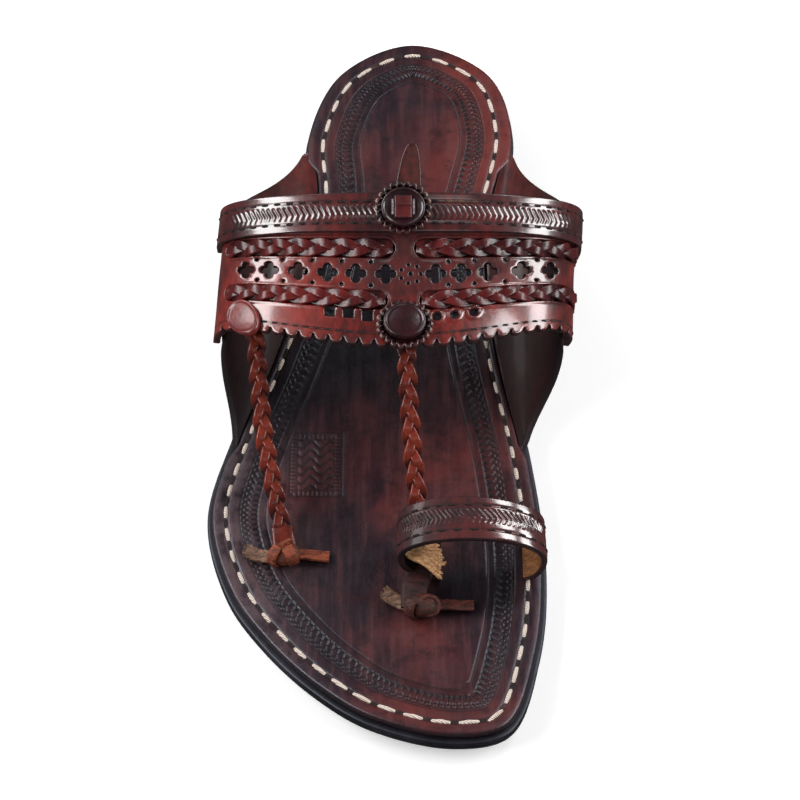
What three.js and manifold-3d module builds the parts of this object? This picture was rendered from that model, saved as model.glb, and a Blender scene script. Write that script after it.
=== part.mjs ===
// Kolhapuri sandal for the right foot, in millimetres.
// +X is the big toe's side, +Y the heel, +Z up, and the floor is z = 0.
// A flat leather sole carries two side ears, an arched instep band and a toe loop.
import * as THREE from "three";
import { mergeVertices } from "three/addons/utils/BufferGeometryUtils.js";
import Module from "manifold-3d";

const wasm = await Module();
wasm.setup();

// Clearance between neighbouring pieces, the distance at which points are one, and the step
// over which a surface's directions are taken
const FIT_GAP = 0.3;
const WELD = 1e-4;
const TANGENT_STEP = 1e-3;

// Sole: thicknesses, heel, toe spring and the stretch of forefoot that lies flat
const OUTSOLE_THICK = 4.6;
const OUTSOLE_UNDERCUT = 1;
const INSOLE_THICK = 3;
const HEEL_LIFT = 10;
const HEEL_SEAT_Y = 59.4;
const HEEL_BREAST_Y = 57;
const HEEL_INSET = 0.8;
const FLAT_BACK_Y = -25.6;
const FLAT_FRONT_Y = -85.6;
const TOE_SPRING = 5;
const TOE_SPRING_RUN = 50;
const INSOLE_STEP = 1.6;
const SOLE_STATIONS = 44;
const OUTLINE_SAMPLES = 720;

// Outline of the outsole seen from above, from the heel round by the little toe
const SOLE_OUTLINE = [
  { at: "heel back", x: 4.6, y: 136.5 },
  { at: "heel back, outer", x: -19.9, y: 122.9 },
  { at: "heel, outer", x: -31, y: 93 },
  { at: "waist, outer", x: -30, y: 66 },
  { at: "arch, outer", x: -33.5, y: 36 },
  { at: "front of arch, outer", x: -42.5, y: 6 },
  { at: "behind ball, outer", x: -53, y: -24.5 },
  { at: "ball, outer", x: -59.2, y: -55 },
  { at: "little toe", x: -52.5, y: -82.3 },
  { at: "fourth toe", x: -41.7, y: -99.7 },
  { at: "third toe", x: -25.7, y: -117.4 },
  { at: "second toe", x: -8.4, y: -130.1 },
  { at: "toe tip", x: 16, y: -137 },
  { at: "toe corner", x: 32.5, y: -132.7 },
  { at: "big toe", x: 42.2, y: -105.4 },
  { at: "ball, inner", x: 45.2, y: -74 },
  { at: "behind ball, inner", x: 41.8, y: -33 },
  { at: "arch, inner", x: 33.2, y: 16 },
  { at: "waist, inner", x: 31.8, y: 52 },
  { at: "heel, inner", x: 38.7, y: 95 },
  { at: "heel back, inner", x: 30.6, y: 122.9 },
];

// Sections of the upper from behind the band to the ears' front ends. run is 0 at the band's
// rear edge and 1 at its front edge, and each section arches from its crest to two shoulders
// and comes back in to the sole. Heights are above the insole at the ball, and sweep is 1
// where the edge is drawn back in a V.
const UPPER_SECTIONS = [
  {
    run: -1.1, crestY: 64.7, crestZ: 99, shoulderY: 80, shoulderZ: 40,
    left: -50, right: 53, footY: 88, sweep: 0,
  },
  {
    run: 0, crestY: 22.8, crestZ: 61.5, shoulderY: 36.2, shoulderZ: 35.5,
    left: -52.6, right: 54.4, footY: 47, sweep: 0,
  },
  {
    run: 0.5, crestY: 0.7, crestZ: 49.1, shoulderY: 16, shoulderZ: 28,
    left: -54.4, right: 53, footY: 26, sweep: 0.5,
  },
  {
    run: 1, crestY: -24.8, crestZ: 44, shoulderY: -6, shoulderZ: 22,
    left: -55.8, right: 52, footY: 3, sweep: 1,
  },
  {
    run: 1.7, crestY: -60, crestZ: 45.9, shoulderY: -26, shoulderZ: 20,
    left: -58, right: 49, footY: -31, sweep: 1,
  },
];
const CREST_X = 2;
const BAND_ROUND = 2.35;
const ARCH_STEPS = 60;

// Instep band
const BAND_THICK = 2.2;
const BAND_LENGTH = 50.7;
const BAND_END = 70;
const BAND_COLUMNS = 40;
const BAND_ROWS = 4;

// Side ears, which the band overlaps outside
const EAR_THICK = 2.4;
const EAR_FOOT_GAP = 0.6;
const EAR_STEP = 2.2;
const EAR_BLEND = 12;
const EAR_UNDER_BAND = 1.06;
const EAR_TIP = 0.05;
const EAR_REAR_POWER = 1.5;
const EAR_FRONT_POWER = 1.2;
const EAR_COLUMNS = 5;
const EAR_ROWS = 20;

// Openwork of the band: four-lobed cut-outs in a row, square and round holes, pinked edge
const LOBE_PITCH = 9.4;
const LOBES_A_SIDE = 6;
const LOBE_RUN = 0.515;
const LOBE_RADIUS = 3.2;
const LOBE_WAIST = 0.44;
const LOBE_POINTS = 16;
const SLOT_WIDTH = 3;
const SLOT_HEIGHT = 4;
const EYELET_RADIUS = 1.35;
const EYELET_POINTS = 10;
const PINK_PITCH = 4.7;
const PINK_DEPTH = 2.2;
const PINK_WIDTH = 2.4;
const PUNCH_DEPTH = 8;
const HOLES = [
  { shape: "slot", s: -23.4, run: 0.775 },
  { shape: "slot", s: -17.8, run: 0.775 },
  { shape: "slot", s: -12.2, run: 0.79 },
  { shape: "eyelet", s: 11.6, run: 0.78 },
  { shape: "eyelet", s: 17, run: 0.765 },
  { shape: "eyelet", s: 22.6, run: 0.765 },
];

// Strip laid along the band's rear edge
const STRIP_THICK = 1.5;
const STRIP_RUN = 0.25;
const STRIP_END_RUN = 0.29;
const STRIP_END = 70;
const STRIP_WIDENS_AT = 23.3;
const STRIP_ROWS = 2;

// Form of every plait, in shares of its thickness, width and pitch: how far its edges fall, the
// rise and swing of its strips, their slant, its thinnest edge and its narrow ends
const PLAIT_FALL = 0.75;
const PLAIT_WAVE = 0.22;
const PLAIT_SWING = 0.08;
const PLAIT_SLANT = 0.333;
const PLAIT_EDGE = 0.2;
const PLAIT_END_WIDTH = 0.55;

// Plaits laid in two rows on the band, on either side of its middle
const PLAIT_PITCH = 7.4;
const PLAIT_HALF_WIDTH = 3.3;
const PLAIT_THICK = 2.6;
const PLAIT_STEPS_A_PITCH = 3;
const PLAIT_COLUMNS = 4;
const PLAITS = [
  { name: "braid_upper_left", from: -3.6, to: -59, run: 0.35 },
  { name: "braid_upper_right", from: 3.6, to: 63, run: 0.35 },
  { name: "braid_lower_left", from: -6.2, to: -59, run: 0.69 },
  { name: "braid_lower_right", from: 5.8, to: 63, run: 0.69 },
];

// Medallions: a toothed washer under a dished disc, and a plain disc at the outer shoulder
const WASHER_RADIUS = 8.9;
const WASHER_TEETH = 20;
const WASHER_TOOTH = 0.9;
const WASHER_THICK = 1.2;
const DISC_RADIUS = 6.9;
const DISC_THICK = 2.3;
const DISC_SEGMENTS = 20;
const RIM_WIDTH = 0.6;
const RIM_SLOPE = 0.9;
const RIM_FOOT = 0.6;
const DISH_AT_HALF = 0.8;
const REAR_MEDALLION = { s: -0.6, run: 0.1, layer: STRIP_THICK + FIT_GAP, dish: 0.9 };
const FRONT_MEDALLION = { s: -0.2, run: 0.86, layer: 0, dish: -0.7 };
const SIDE_DISC = { s: -52, run: 0.93, radius: 5.8, thick: 2, dish: 0.4 };

// Pointed tab that stands up behind the rear medallion
const TAB_THICK = 1.8;
const TAB_HALF_WIDTH = 4.5;
const TAB_TIP_WIDTH = 1;
const TAB_FROM_RUN = 0.14;
const TAB_TO_RUN = -0.3;
const TAB_S = 0.4;
const TAB_POINT = 0.6;
const TAB_ROWS = 10;

// Toe loop, open at both ends, with its two feet on the insole
const LOOP_THICK = 2.2;
const LOOP_COLUMNS = 32;
const LOOP_ROWS = 3;
const LOOP_ROUND = 2;
const LOOP_SECTIONS = [
  {
    run: 0, crestX: 18.4, crestY: -64.7, crestZ: 22.4, left: 1.8, leftZ: 13,
    right: 42, rightZ: 10.5, footLeft: 13, footRight: 37.6, footY: -66,
  },
  {
    run: 1, crestX: 21.2, crestY: -78.9, crestZ: 20.6, left: 1.6, leftZ: 11.6,
    right: 42.6, rightZ: 9.5, footLeft: 13, footRight: 37.6, footY: -79.7,
  },
];

// Plaited thongs that run down from the band's front edge
const THONG_HALF_WIDTH = 3;
const THONG_THICK = 1.7;
const THONG_PITCH = 7.6;
const THONG_START_RUN = 0.86;
const CENTRE_THONG = {
  startS: 0.4,
  edgeS: 0.4,
  drop: 0.3,
  path: [
    { at: "sag", x: 4, y: -46, z: 26 },
    { at: "mouth of the toe loop", x: 6.4, y: -62.5, z: 12.6 },
    { at: "foot of the toe loop", x: 9, y: -73, z: 5.4 },
  ],
};
const SIDE_THONG = {
  startS: -51,
  edgeS: -50,
  drop: 2,
  path: [
    { at: "sag", x: -41.5, y: -36, z: 18 },
    { at: "insole", x: -35.2, y: -64.5, z: 2.1 },
  ],
};

// Knots that finish the thongs on the insole, each with two flat tails
const KNOT_RADIUS = { x: 5, y: 4.4, z: 3.7 };
const KNOT_WRAP_RADIUS = 3;
const KNOT_WRAP_THICK = 1.3;
const KNOT_WRAP_RISE = 0.8;
const KNOT_WRAP_SQUASH = 0.72;
const KNOT_WRAP_TILT = { lean: 72, turn: 24 };
const KNOT_SEGMENTS = 12;
const KNOT_RINGS = 8;
const WRAP_SIDES = 6;
const TAIL_THICK = 1.7;
const TAIL_DROOP = 2.2;
const TAIL_STEPS = 4;
const KNOTS = [
  {
    name: "centre_knot", x: 8.2, y: -90.5,
    tails: [{ turn: 165, length: 14, width: 6.4 }, { turn: 4, length: 16, width: 3.6 }],
  },
  {
    name: "side_knot", x: -34.6, y: -71.6,
    tails: [{ turn: 176, length: 13, width: 5.6 }, { turn: 3, length: 14, width: 4 }],
  },
];

const { lerp, smoothstep, clamp, degToRad } = THREE.MathUtils;

// Value of one column of a table at a place along it, on a smooth curve through the rows.
function columnAt(rows, column, run) {
  const last = rows.length - 1;
  let i = 0;
  while (i < last - 1 && run > rows[i + 1].run) i++;
  const slope = (k) => {
    const before = rows[Math.max(k - 1, 0)];
    const after = rows[Math.min(k + 1, last)];
    return (after[column] - before[column]) / (after.run - before.run);
  };
  const span = rows[i + 1].run - rows[i].run;
  const t = (run - rows[i].run) / span;
  const ease = t * t * (3 - 2 * t);
  const leave = t * (1 - t) * (1 - t) * span * slope(i);
  const arrive = t * t * (t - 1) * span * slope(i + 1);
  return lerp(rows[i][column], rows[i + 1][column], ease) + leave + arrive;
}

// All the columns of a table at a place along it.
function rowAt(rows, run) {
  const row = {};
  for (const column of Object.keys(rows[0])) row[column] = columnAt(rows, column, run);
  return row;
}

// Numbers evenly spread from one value to another, both included.
function spread(from, to, steps) {
  return Array.from({ length: steps + 1 }, (_, i) => lerp(from, to, i / steps));
}

// A closed wall over a grid. place(u, v, face) gives a point of its under face (0) or top face (1).
function wall(us, vs, place) {
  const columns = us.length;
  const rows = vs.length;
  const points = [0, 1].flatMap((face) => vs.flatMap((v) => us.map((u) => place(u, v, face))));
  const index = [];
  const at = (i, j, face) => face * columns * rows + j * columns + i;
  const quad = (a, b, c, d) => index.push(a, b, c, a, c, d);
  for (let j = 0; j < rows - 1; j++) {
    for (let i = 0; i < columns - 1; i++) {
      quad(at(i, j, 1), at(i + 1, j, 1), at(i + 1, j + 1, 1), at(i, j + 1, 1));
      quad(at(i, j, 0), at(i, j + 1, 0), at(i + 1, j + 1, 0), at(i + 1, j, 0));
    }
    quad(at(0, j, 0), at(0, j, 1), at(0, j + 1, 1), at(0, j + 1, 0));
    const end = columns - 1;
    quad(at(end, j, 1), at(end, j, 0), at(end, j + 1, 0), at(end, j + 1, 1));
  }
  for (let i = 0; i < columns - 1; i++) {
    const end = rows - 1;
    quad(at(i, 0, 1), at(i, 0, 0), at(i + 1, 0, 0), at(i + 1, 0, 1));
    quad(at(i, end, 0), at(i, end, 1), at(i + 1, end, 1), at(i + 1, end, 0));
  }
  return facingOut(new THREE.BufferGeometry().setFromPoints(points).setIndex(index));
}

// The same surface with its faces pointing outwards.
function facingOut(geometry) {
  const index = geometry.index.array;
  const position = geometry.attributes.position;
  const corner = (k) => new THREE.Vector3().fromBufferAttribute(position, index[k]);
  let volume = 0;
  for (let k = 0; k < index.length; k += 3) {
    volume += corner(k).dot(corner(k + 1).cross(corner(k + 2)));
  }
  for (let k = 0; volume < 0 && k < index.length; k += 3) {
    [index[k], index[k + 1]] = [index[k + 1], index[k]];
  }
  return geometry;
}

// A closed surface as a solid that can be joined and cut.
function solidOf(geometry) {
  const bare = geometry.clone();
  bare.deleteAttribute("normal");
  bare.deleteAttribute("uv");
  const merged = mergeVertices(bare, WELD);
  const vertProperties = merged.attributes.position.array;
  const triVerts = new Uint32Array(merged.index.array);
  return new wasm.Manifold(new wasm.Mesh({ numProp: 3, vertProperties, triVerts }));
}

// A solid as a surface to show.
function surfaceOf(solid) {
  const mesh = solid.getMesh();
  const position = new THREE.BufferAttribute(new Float32Array(mesh.vertProperties), 3);
  const index = new THREE.BufferAttribute(new Uint32Array(mesh.triVerts), 1);
  return new THREE.BufferGeometry().setAttribute("position", position).setIndex(index);
}

// Sole

const outlinePoints = SOLE_OUTLINE.map((p) => new THREE.Vector3(p.x, p.y, 0));
const outlineCurve = new THREE.CatmullRomCurve3(outlinePoints, true, "centripetal");
const outline = outlineCurve.getPoints(OUTLINE_SAMPLES);
const heelEndY = Math.max(...outline.map((p) => p.y));
const toeEndY = Math.min(...outline.map((p) => p.y));

// The outsole's outer (side 0) or inner (side 1) edge at a distance along the shoe.
function soleEdge(side, y) {
  const crossings = [];
  for (let i = 0; i < outline.length - 1; i++) {
    const a = outline[i];
    const b = outline[i + 1];
    if (a.y === b.y || (a.y - y) * (b.y - y) > 0) continue;
    crossings.push(lerp(a.x, b.x, (y - a.y) / (b.y - a.y)));
  }
  return side ? Math.max(...crossings) : Math.min(...crossings);
}

// Underside of the outsole: flat under the ball, up to the heel seat, and sprung at the toe.
function outsoleBottom(y) {
  const spring = Math.max(FLAT_FRONT_Y - y, 0) / TOE_SPRING_RUN;
  return HEEL_LIFT * smoothstep(y, FLAT_BACK_Y, HEEL_SEAT_Y) + TOE_SPRING * spring * spring;
}

const outsoleTop = (y) => outsoleBottom(y) + OUTSOLE_THICK;
const insoleBottom = (y) => outsoleTop(y) + FIT_GAP;
const insoleTop = (y) => insoleBottom(y) + INSOLE_THICK;
const BALL_TOP = insoleTop(FLAT_FRONT_Y);

// How far the insole's edge stands in from the outsole's edge. It gives way to the ears.
function insoleInset(y) {
  const earFront = UPPER_SECTIONS.at(-1).footY;
  const earBack = UPPER_SECTIONS[0].footY;
  const front = smoothstep(y, earFront - EAR_BLEND, earFront);
  const back = 1 - smoothstep(y, earBack, earBack + EAR_BLEND);
  return INSOLE_STEP + EAR_STEP * front * back;
}

const insoleEdge = (side, y) => soleEdge(side, y) + (side ? -1 : 1) * insoleInset(y);

// Stations along the shoe, close together where the heel and the toe turn.
function soleStations(fromY, toY, breaks) {
  const middle = (fromY + toY) / 2;
  const half = (fromY - toY) / 2;
  const turned = Array.from({ length: SOLE_STATIONS }, (_, i) => {
    return middle + half * Math.cos((Math.PI * (i + 0.5)) / SOLE_STATIONS);
  });
  return [...turned, ...breaks].sort((a, b) => b - a);
}

// A layer of the sole between two heights, drawn in from the outsole's edge.
function soleLayer(stations, inset, undercut, bottom, top) {
  const shrink = (y) => y * (1 - (2 * inset(heelEndY)) / (heelEndY - toeEndY));
  return wall([0, 1], stations, (u, y, face) => {
    const drawnIn = inset(y) + (face ? 0 : undercut);
    const left = soleEdge(0, y) + drawnIn;
    const right = soleEdge(1, y) - drawnIn;
    const placed = shrink(y);
    return new THREE.Vector3(lerp(left, right, u), placed, face ? top(placed) : bottom(placed));
  });
}

const wholeLength = soleStations(heelEndY, toeEndY, [FLAT_BACK_Y, FLAT_FRONT_Y, HEEL_SEAT_Y]);
const outsole = soleLayer(wholeLength, () => 0, OUTSOLE_UNDERCUT, outsoleBottom, outsoleTop);
const insole = soleLayer(wholeLength, insoleInset, 0, insoleBottom, insoleTop);
const heelStations = [...wholeLength.filter((y) => y > HEEL_BREAST_Y), HEEL_BREAST_Y];
const heelInset = () => HEEL_INSET;
const heelTop = () => HEEL_LIFT - FIT_GAP;
const heelBlock = soleLayer(heelStations, heelInset, OUTSOLE_UNDERCUT, () => 0, heelTop);

// Arched straps

// A point of an arch. turn is 0 at its crest, 1 at its shoulder and 2 at its foot, and it is
// negative on the little toe's side.
function archPoint(arch, turn) {
  const side = turn < 0 ? 0 : 1;
  const { crest, sweep } = arch;
  const shoulder = arch.shoulder[side];
  const foot = arch.foot[side];
  const reach = Math.abs(turn);
  const angle = (reach <= 1 ? reach : reach - 1) * (Math.PI / 2);
  if (reach <= 1) {
    const out = Math.sin(angle) ** (2 / arch.round);
    const up = Math.cos(angle) ** (2 / arch.round);
    const back = lerp(1 - up, out * out, sweep);
    return new THREE.Vector3(
      lerp(crest.x, shoulder.x, out),
      lerp(crest.y, shoulder.y, back),
      lerp(shoulder.z, crest.z, up),
    );
  }
  const kept = Math.cos(angle);
  const down = Math.sin(angle);
  return new THREE.Vector3(
    lerp(foot.x, shoulder.x, kept),
    lerp(shoulder.y, foot.y, lerp(down, 1 - kept, sweep)),
    lerp(shoulder.z, foot.z, down),
  );
}

// The turn at which an arch has run a given length from its crest.
function turnAt(arch, length) {
  const sign = length < 0 ? -1 : 1;
  let left = Math.abs(length);
  let before = archPoint(arch, 0);
  for (let i = 1; i <= 2 * ARCH_STEPS; i++) {
    const point = archPoint(arch, (sign * i) / ARCH_STEPS);
    const step = point.distanceTo(before);
    if (step >= left) return (sign * (i - 1 + left / step)) / ARCH_STEPS;
    left -= step;
    before = point;
  }
  return sign * 2;
}

// A surface's directions at a place on it: along, across and out.
function directions(surface, p, q) {
  const step = TANGENT_STEP;
  const along = surface(p + step, q).sub(surface(p - step, q)).normalize();
  const across = surface(p, q + step).sub(surface(p, q - step)).normalize();
  const out = across.clone().cross(along).normalize();
  return { along, across, out };
}

// A point lifted off a surface.
function lifted(surface, p, q, lift) {
  return surface(p, q).addScaledVector(directions(surface, p, q).out, lift);
}

// Section of the upper at a place between its rear and front edges.
function upperArch(run) {
  const row = rowAt(UPPER_SECTIONS, run);
  const shoulderZ = BALL_TOP + row.shoulderZ;
  const shoulder = [row.left, row.right].map((x) => new THREE.Vector3(x, row.shoulderY, shoulderZ));
  const foot = [0, 1].map((side) => {
    const x = insoleEdge(side, row.footY) + (side ? 1 : -1) * EAR_FOOT_GAP;
    return new THREE.Vector3(x, row.footY, outsoleTop(row.footY));
  });
  const crest = new THREE.Vector3(CREST_X, row.crestY, BALL_TOP + row.crestZ);
  return { crest, shoulder, foot, sweep: row.sweep, round: BAND_ROUND };
}

// The upper's inner face, by length from the crest or by turn.
function upperByLength(s, run) {
  const arch = upperArch(run);
  return archPoint(arch, turnAt(arch, s));
}
const upperByTurn = (turn, run) => archPoint(upperArch(run), turn);
const onBand = (s, run, lift) => lifted(upperByLength, s, run, lift);

// A flat shape driven through the band at a place, square to its face.
function punch(shape, s, run) {
  const { along, out } = directions(upperByLength, s, run);
  const geometry = new THREE.ExtrudeGeometry(shape, { depth: PUNCH_DEPTH, bevelEnabled: false });
  geometry.translate(0, 0, -PUNCH_DEPTH / 2);
  const place = new THREE.Matrix4().makeBasis(along, out.clone().cross(along), out);
  place.setPosition(onBand(s, run, BAND_THICK / 2));
  return solidOf(geometry.applyMatrix4(place));
}

// Shape with a radius for each angle.
function roundShape(points, radius) {
  const angles = spread(0, 2 * Math.PI, points).slice(0, -1);
  const point = (a) => new THREE.Vector2(Math.cos(a), Math.sin(a)).multiplyScalar(radius(a));
  return new THREE.Shape(angles.map(point));
}

const fourLobes = (a) => LOBE_RADIUS * lerp(LOBE_WAIST, 1, (1 + Math.cos(4 * a)) / 2);
const lobedShape = roundShape(LOBE_POINTS, fourLobes);
const eyeletShape = roundShape(EYELET_POINTS, () => EYELET_RADIUS);
const slotShape = new THREE.Shape([
  new THREE.Vector2(-SLOT_WIDTH / 2, -SLOT_HEIGHT / 2),
  new THREE.Vector2(SLOT_WIDTH / 2, -SLOT_HEIGHT / 2),
  new THREE.Vector2(SLOT_WIDTH / 2, SLOT_HEIGHT / 2),
  new THREE.Vector2(-SLOT_WIDTH / 2, SLOT_HEIGHT / 2),
]);
const pinkShape = new THREE.Shape([
  new THREE.Vector2(-PINK_WIDTH / 2, -PINK_DEPTH),
  new THREE.Vector2(PINK_WIDTH / 2, -PINK_DEPTH),
  new THREE.Vector2(0, PINK_DEPTH),
]);

// Instep band with its openwork and its pinked front edge
function instepBand() {
  const ss = spread(-BAND_END, BAND_END, BAND_COLUMNS);
  const runs = spread(0, 1, BAND_ROWS);
  const bare = wall(ss, runs, (s, run, face) => onBand(s, run, face * BAND_THICK));
  let band = solidOf(bare);
  for (const side of [-1, 1]) {
    for (let k = 0; k < LOBES_A_SIDE; k++) {
      band = band.subtract(punch(lobedShape, side * (k + 0.5) * LOBE_PITCH, LOBE_RUN));
    }
  }
  for (const { shape, s, run } of HOLES) {
    band = band.subtract(punch(shape === "slot" ? slotShape : eyeletShape, s, run));
  }
  const teeth = Math.floor(BAND_END / PINK_PITCH) - 1;
  for (let k = -teeth; k <= teeth; k++) {
    band = band.subtract(punch(pinkShape, k * PINK_PITCH, 1));
  }
  return surfaceOf(band);
}

// Strip along the rear edge, a little wider at the band's two ends
function topStrip() {
  const low = BAND_THICK + FIT_GAP;
  const widening = (s) => smoothstep(Math.abs(s), STRIP_WIDENS_AT, STRIP_END);
  const ss = spread(-STRIP_END, STRIP_END, BAND_COLUMNS);
  return wall(ss, spread(0, 1, STRIP_ROWS), (s, share, face) => {
    const run = share * lerp(STRIP_RUN, STRIP_END_RUN, widening(s));
    return onBand(s, run, low + face * STRIP_THICK);
  });
}

// Ear: rises from the sole's edge inside the band, highest under it and low at both ends
function ear(side) {
  const rear = UPPER_SECTIONS[0].run;
  const front = UPPER_SECTIONS.at(-1).run;
  const rise = (run) => {
    const behind = clamp(1 - run / rear, 0, 1) ** EAR_REAR_POWER;
    const ahead = clamp((front - run) / (front - 1), 0, 1) ** EAR_FRONT_POWER;
    return lerp(EAR_TIP, EAR_UNDER_BAND, behind * ahead);
  };
  const sign = side ? 1 : -1;
  return wall(spread(0, 1, EAR_COLUMNS), spread(rear, front, EAR_ROWS), (share, run, face) => {
    const turn = sign * (2 - share * rise(run));
    return lifted(upperByTurn, turn, run, -FIT_GAP - (1 - face) * EAR_THICK);
  });
}

// Plaits

// A plait of three strips laid flat: its strips rise in turn on either side of its middle.
// place(along, across, lift) puts it on its path. round is 1 where its under side is plaited too.
function plait({ length, pitch, halfWidth, thick, round }, place) {
  const steps = Math.round((length / pitch) * PLAIT_STEPS_A_PITCH);
  const stripAt = (along, share) => {
    const turn = along / pitch + (share < 0 ? 0.5 : 0) - PLAIT_SLANT * Math.abs(share);
    return Math.abs(share) * Math.cos(2 * Math.PI * turn);
  };
  return wall(spread(0, length, steps), spread(-1, 1, PLAIT_COLUMNS), (along, share, face) => {
    const toEnd = clamp(Math.min(along, length - along) / halfWidth, 0, 1);
    const width = halfWidth * lerp(PLAIT_END_WIDTH, 1, Math.sqrt(toEnd));
    const strip = stripAt(along, share);
    const crown = 1 - PLAIT_FALL * share * share;
    const height = thick * Math.max(lerp(crown, strip, PLAIT_WAVE), PLAIT_EDGE);
    return place(along, share * width * (1 + PLAIT_SWING * strip), face ? height : -round * height);
  });
}

// Plait laid on the band from one length along it to another
function bandPlait({ from, to, run }) {
  const way = Math.sign(to - from);
  const base = BAND_THICK + FIT_GAP;
  const size = {
    length: Math.abs(to - from), pitch: PLAIT_PITCH,
    halfWidth: PLAIT_HALF_WIDTH, thick: PLAIT_THICK, round: 0,
  };
  return plait(size, (along, across, lift) => {
    return onBand(from + way * along, run + across / BAND_LENGTH, base + lift);
  });
}

// Plaited thong, kept level from side to side. It starts under the band's front edge, below the
// band's inner face.
function thong({ startS, edgeS, drop, path }) {
  const underBand = (s, run) => onBand(s, run, -FIT_GAP - THONG_THICK);
  const edge = underBand(edgeS, 1);
  const way = new THREE.CatmullRomCurve3([
    underBand(startS, THONG_START_RUN),
    edge.setZ(edge.z - drop),
    ...path.map(({ x, y, z }) => new THREE.Vector3(x, y, BALL_TOP + z)),
  ], false, "centripetal");
  const length = way.getLength();
  const up = new THREE.Vector3(0, 0, 1);
  const size = {
    length, pitch: THONG_PITCH, halfWidth: THONG_HALF_WIDTH, thick: THONG_THICK, round: 1,
  };
  return plait(size, (along, across, lift) => {
    const point = way.getPointAt(along / length);
    const tangent = way.getTangentAt(along / length);
    const side = tangent.clone().cross(up).normalize();
    const normal = side.clone().cross(tangent);
    return point.addScaledVector(side, across).addScaledVector(normal, lift);
  });
}

// Medallions

// A turned profile of radius and height, bent onto the band at a place.
function turnedOnBand(profile, segments, s, run, base, reach) {
  const points = profile.map(([radius, height]) => new THREE.Vector2(radius, height));
  const geometry = new THREE.LatheGeometry(points, segments);
  const position = geometry.attributes.position;
  for (let i = 0; i < position.count; i++) {
    const x = position.getX(i);
    const z = position.getZ(i);
    const grown = reach(Math.atan2(z, x), Math.hypot(x, z));
    const lift = base + position.getY(i);
    const bent = onBand(s + x * grown, run + (z * grown) / BAND_LENGTH, lift);
    position.setXYZ(i, bent.x, bent.y, bent.z);
  }
  geometry.deleteAttribute("normal");
  geometry.deleteAttribute("uv");
  return facingOut(mergeVertices(geometry, WELD));
}

// Toothed washer
function washer({ s, run, layer }) {
  const base = BAND_THICK + FIT_GAP + layer;
  const rim = WASHER_RADIUS - WASHER_TOOTH;
  const profile = [
    [0, 0],
    [rim / 2, 0],
    [WASHER_RADIUS, 0],
    [WASHER_RADIUS, WASHER_THICK],
    [rim / 2, WASHER_THICK],
    [0, WASHER_THICK],
  ];
  const tooth = (angle, radius) => {
    if (radius < rim) return 1;
    return lerp(rim / WASHER_RADIUS, 1, (1 + Math.cos(WASHER_TEETH * angle)) / 2);
  };
  return turnedOnBand(profile, 2 * WASHER_TEETH, s, run, base, tooth);
}

// Disc with a raised rim round a dished or domed middle
function disc({ s, run, radius, thick, dish }, base) {
  const profile = [
    [0, 0],
    [radius / 2, 0],
    [radius, 0],
    [radius, thick * RIM_FOOT],
    [radius - RIM_WIDTH, thick],
    [radius - RIM_WIDTH - RIM_SLOPE, thick - Math.max(dish, 0)],
    [radius / 2, thick - dish * DISH_AT_HALF],
    [0, thick - dish],
  ];
  return turnedOnBand(profile, DISC_SEGMENTS, s, run, base, () => 1);
}

// Disc of a medallion, on its washer
function medallionDisc(medallion) {
  const base = BAND_THICK + FIT_GAP + medallion.layer + WASHER_THICK + FIT_GAP;
  return disc({ ...medallion, radius: DISC_RADIUS, thick: DISC_THICK }, base);
}

// Pointed tab, from under the band's rear edge upwards
function rearTab() {
  const top = -FIT_GAP;
  return wall([-1, 0, 1], spread(TAB_FROM_RUN, TAB_TO_RUN, TAB_ROWS), (share, run, face) => {
    const toTip = clamp((run - TAB_TO_RUN) / -TAB_TO_RUN, 0, 1);
    const half = lerp(TAB_TIP_WIDTH, TAB_HALF_WIDTH, toTip ** TAB_POINT);
    return onBand(TAB_S + share * half, run, top - (1 - face) * TAB_THICK);
  });
}

// Toe loop

// Section of the toe loop at a place between its rear and front edges.
function loopArch(run) {
  const row = rowAt(LOOP_SECTIONS, run);
  const floor = insoleTop(row.footY) + FIT_GAP + LOOP_THICK;
  const shoulder = [
    new THREE.Vector3(row.left, row.crestY, BALL_TOP + row.leftZ),
    new THREE.Vector3(row.right, row.crestY, BALL_TOP + row.rightZ),
  ];
  const foot = [row.footLeft, row.footRight].map((x) => new THREE.Vector3(x, row.footY, floor));
  const crest = new THREE.Vector3(row.crestX, row.crestY, BALL_TOP + row.crestZ);
  return { crest, shoulder, foot, sweep: 0, round: LOOP_ROUND };
}
const loopByTurn = (turn, run) => archPoint(loopArch(run), turn);
const toeLoop = wall(spread(-2, 2, LOOP_COLUMNS), spread(0, 1, LOOP_ROWS), (turn, run, face) => {
  return lifted(loopByTurn, turn, run, face * LOOP_THICK);
});

// Knots

// Flat tail of a knot, lying on the insole and drooping to it from the knot
function tail(knot, { turn, length, width }) {
  const way = new THREE.Vector2(1, 0).rotateAround(new THREE.Vector2(), degToRad(turn));
  return wall(spread(0, 1, TAIL_STEPS), [-0.5, 0.5], (share, across, face) => {
    const x = knot.x + way.x * share * length - way.y * across * width;
    const y = knot.y + way.y * share * length + way.x * across * width;
    const droop = TAIL_DROOP * (1 - share) ** 2;
    return new THREE.Vector3(x, y, insoleTop(y) + FIT_GAP + droop + face * TAIL_THICK);
  });
}

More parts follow.
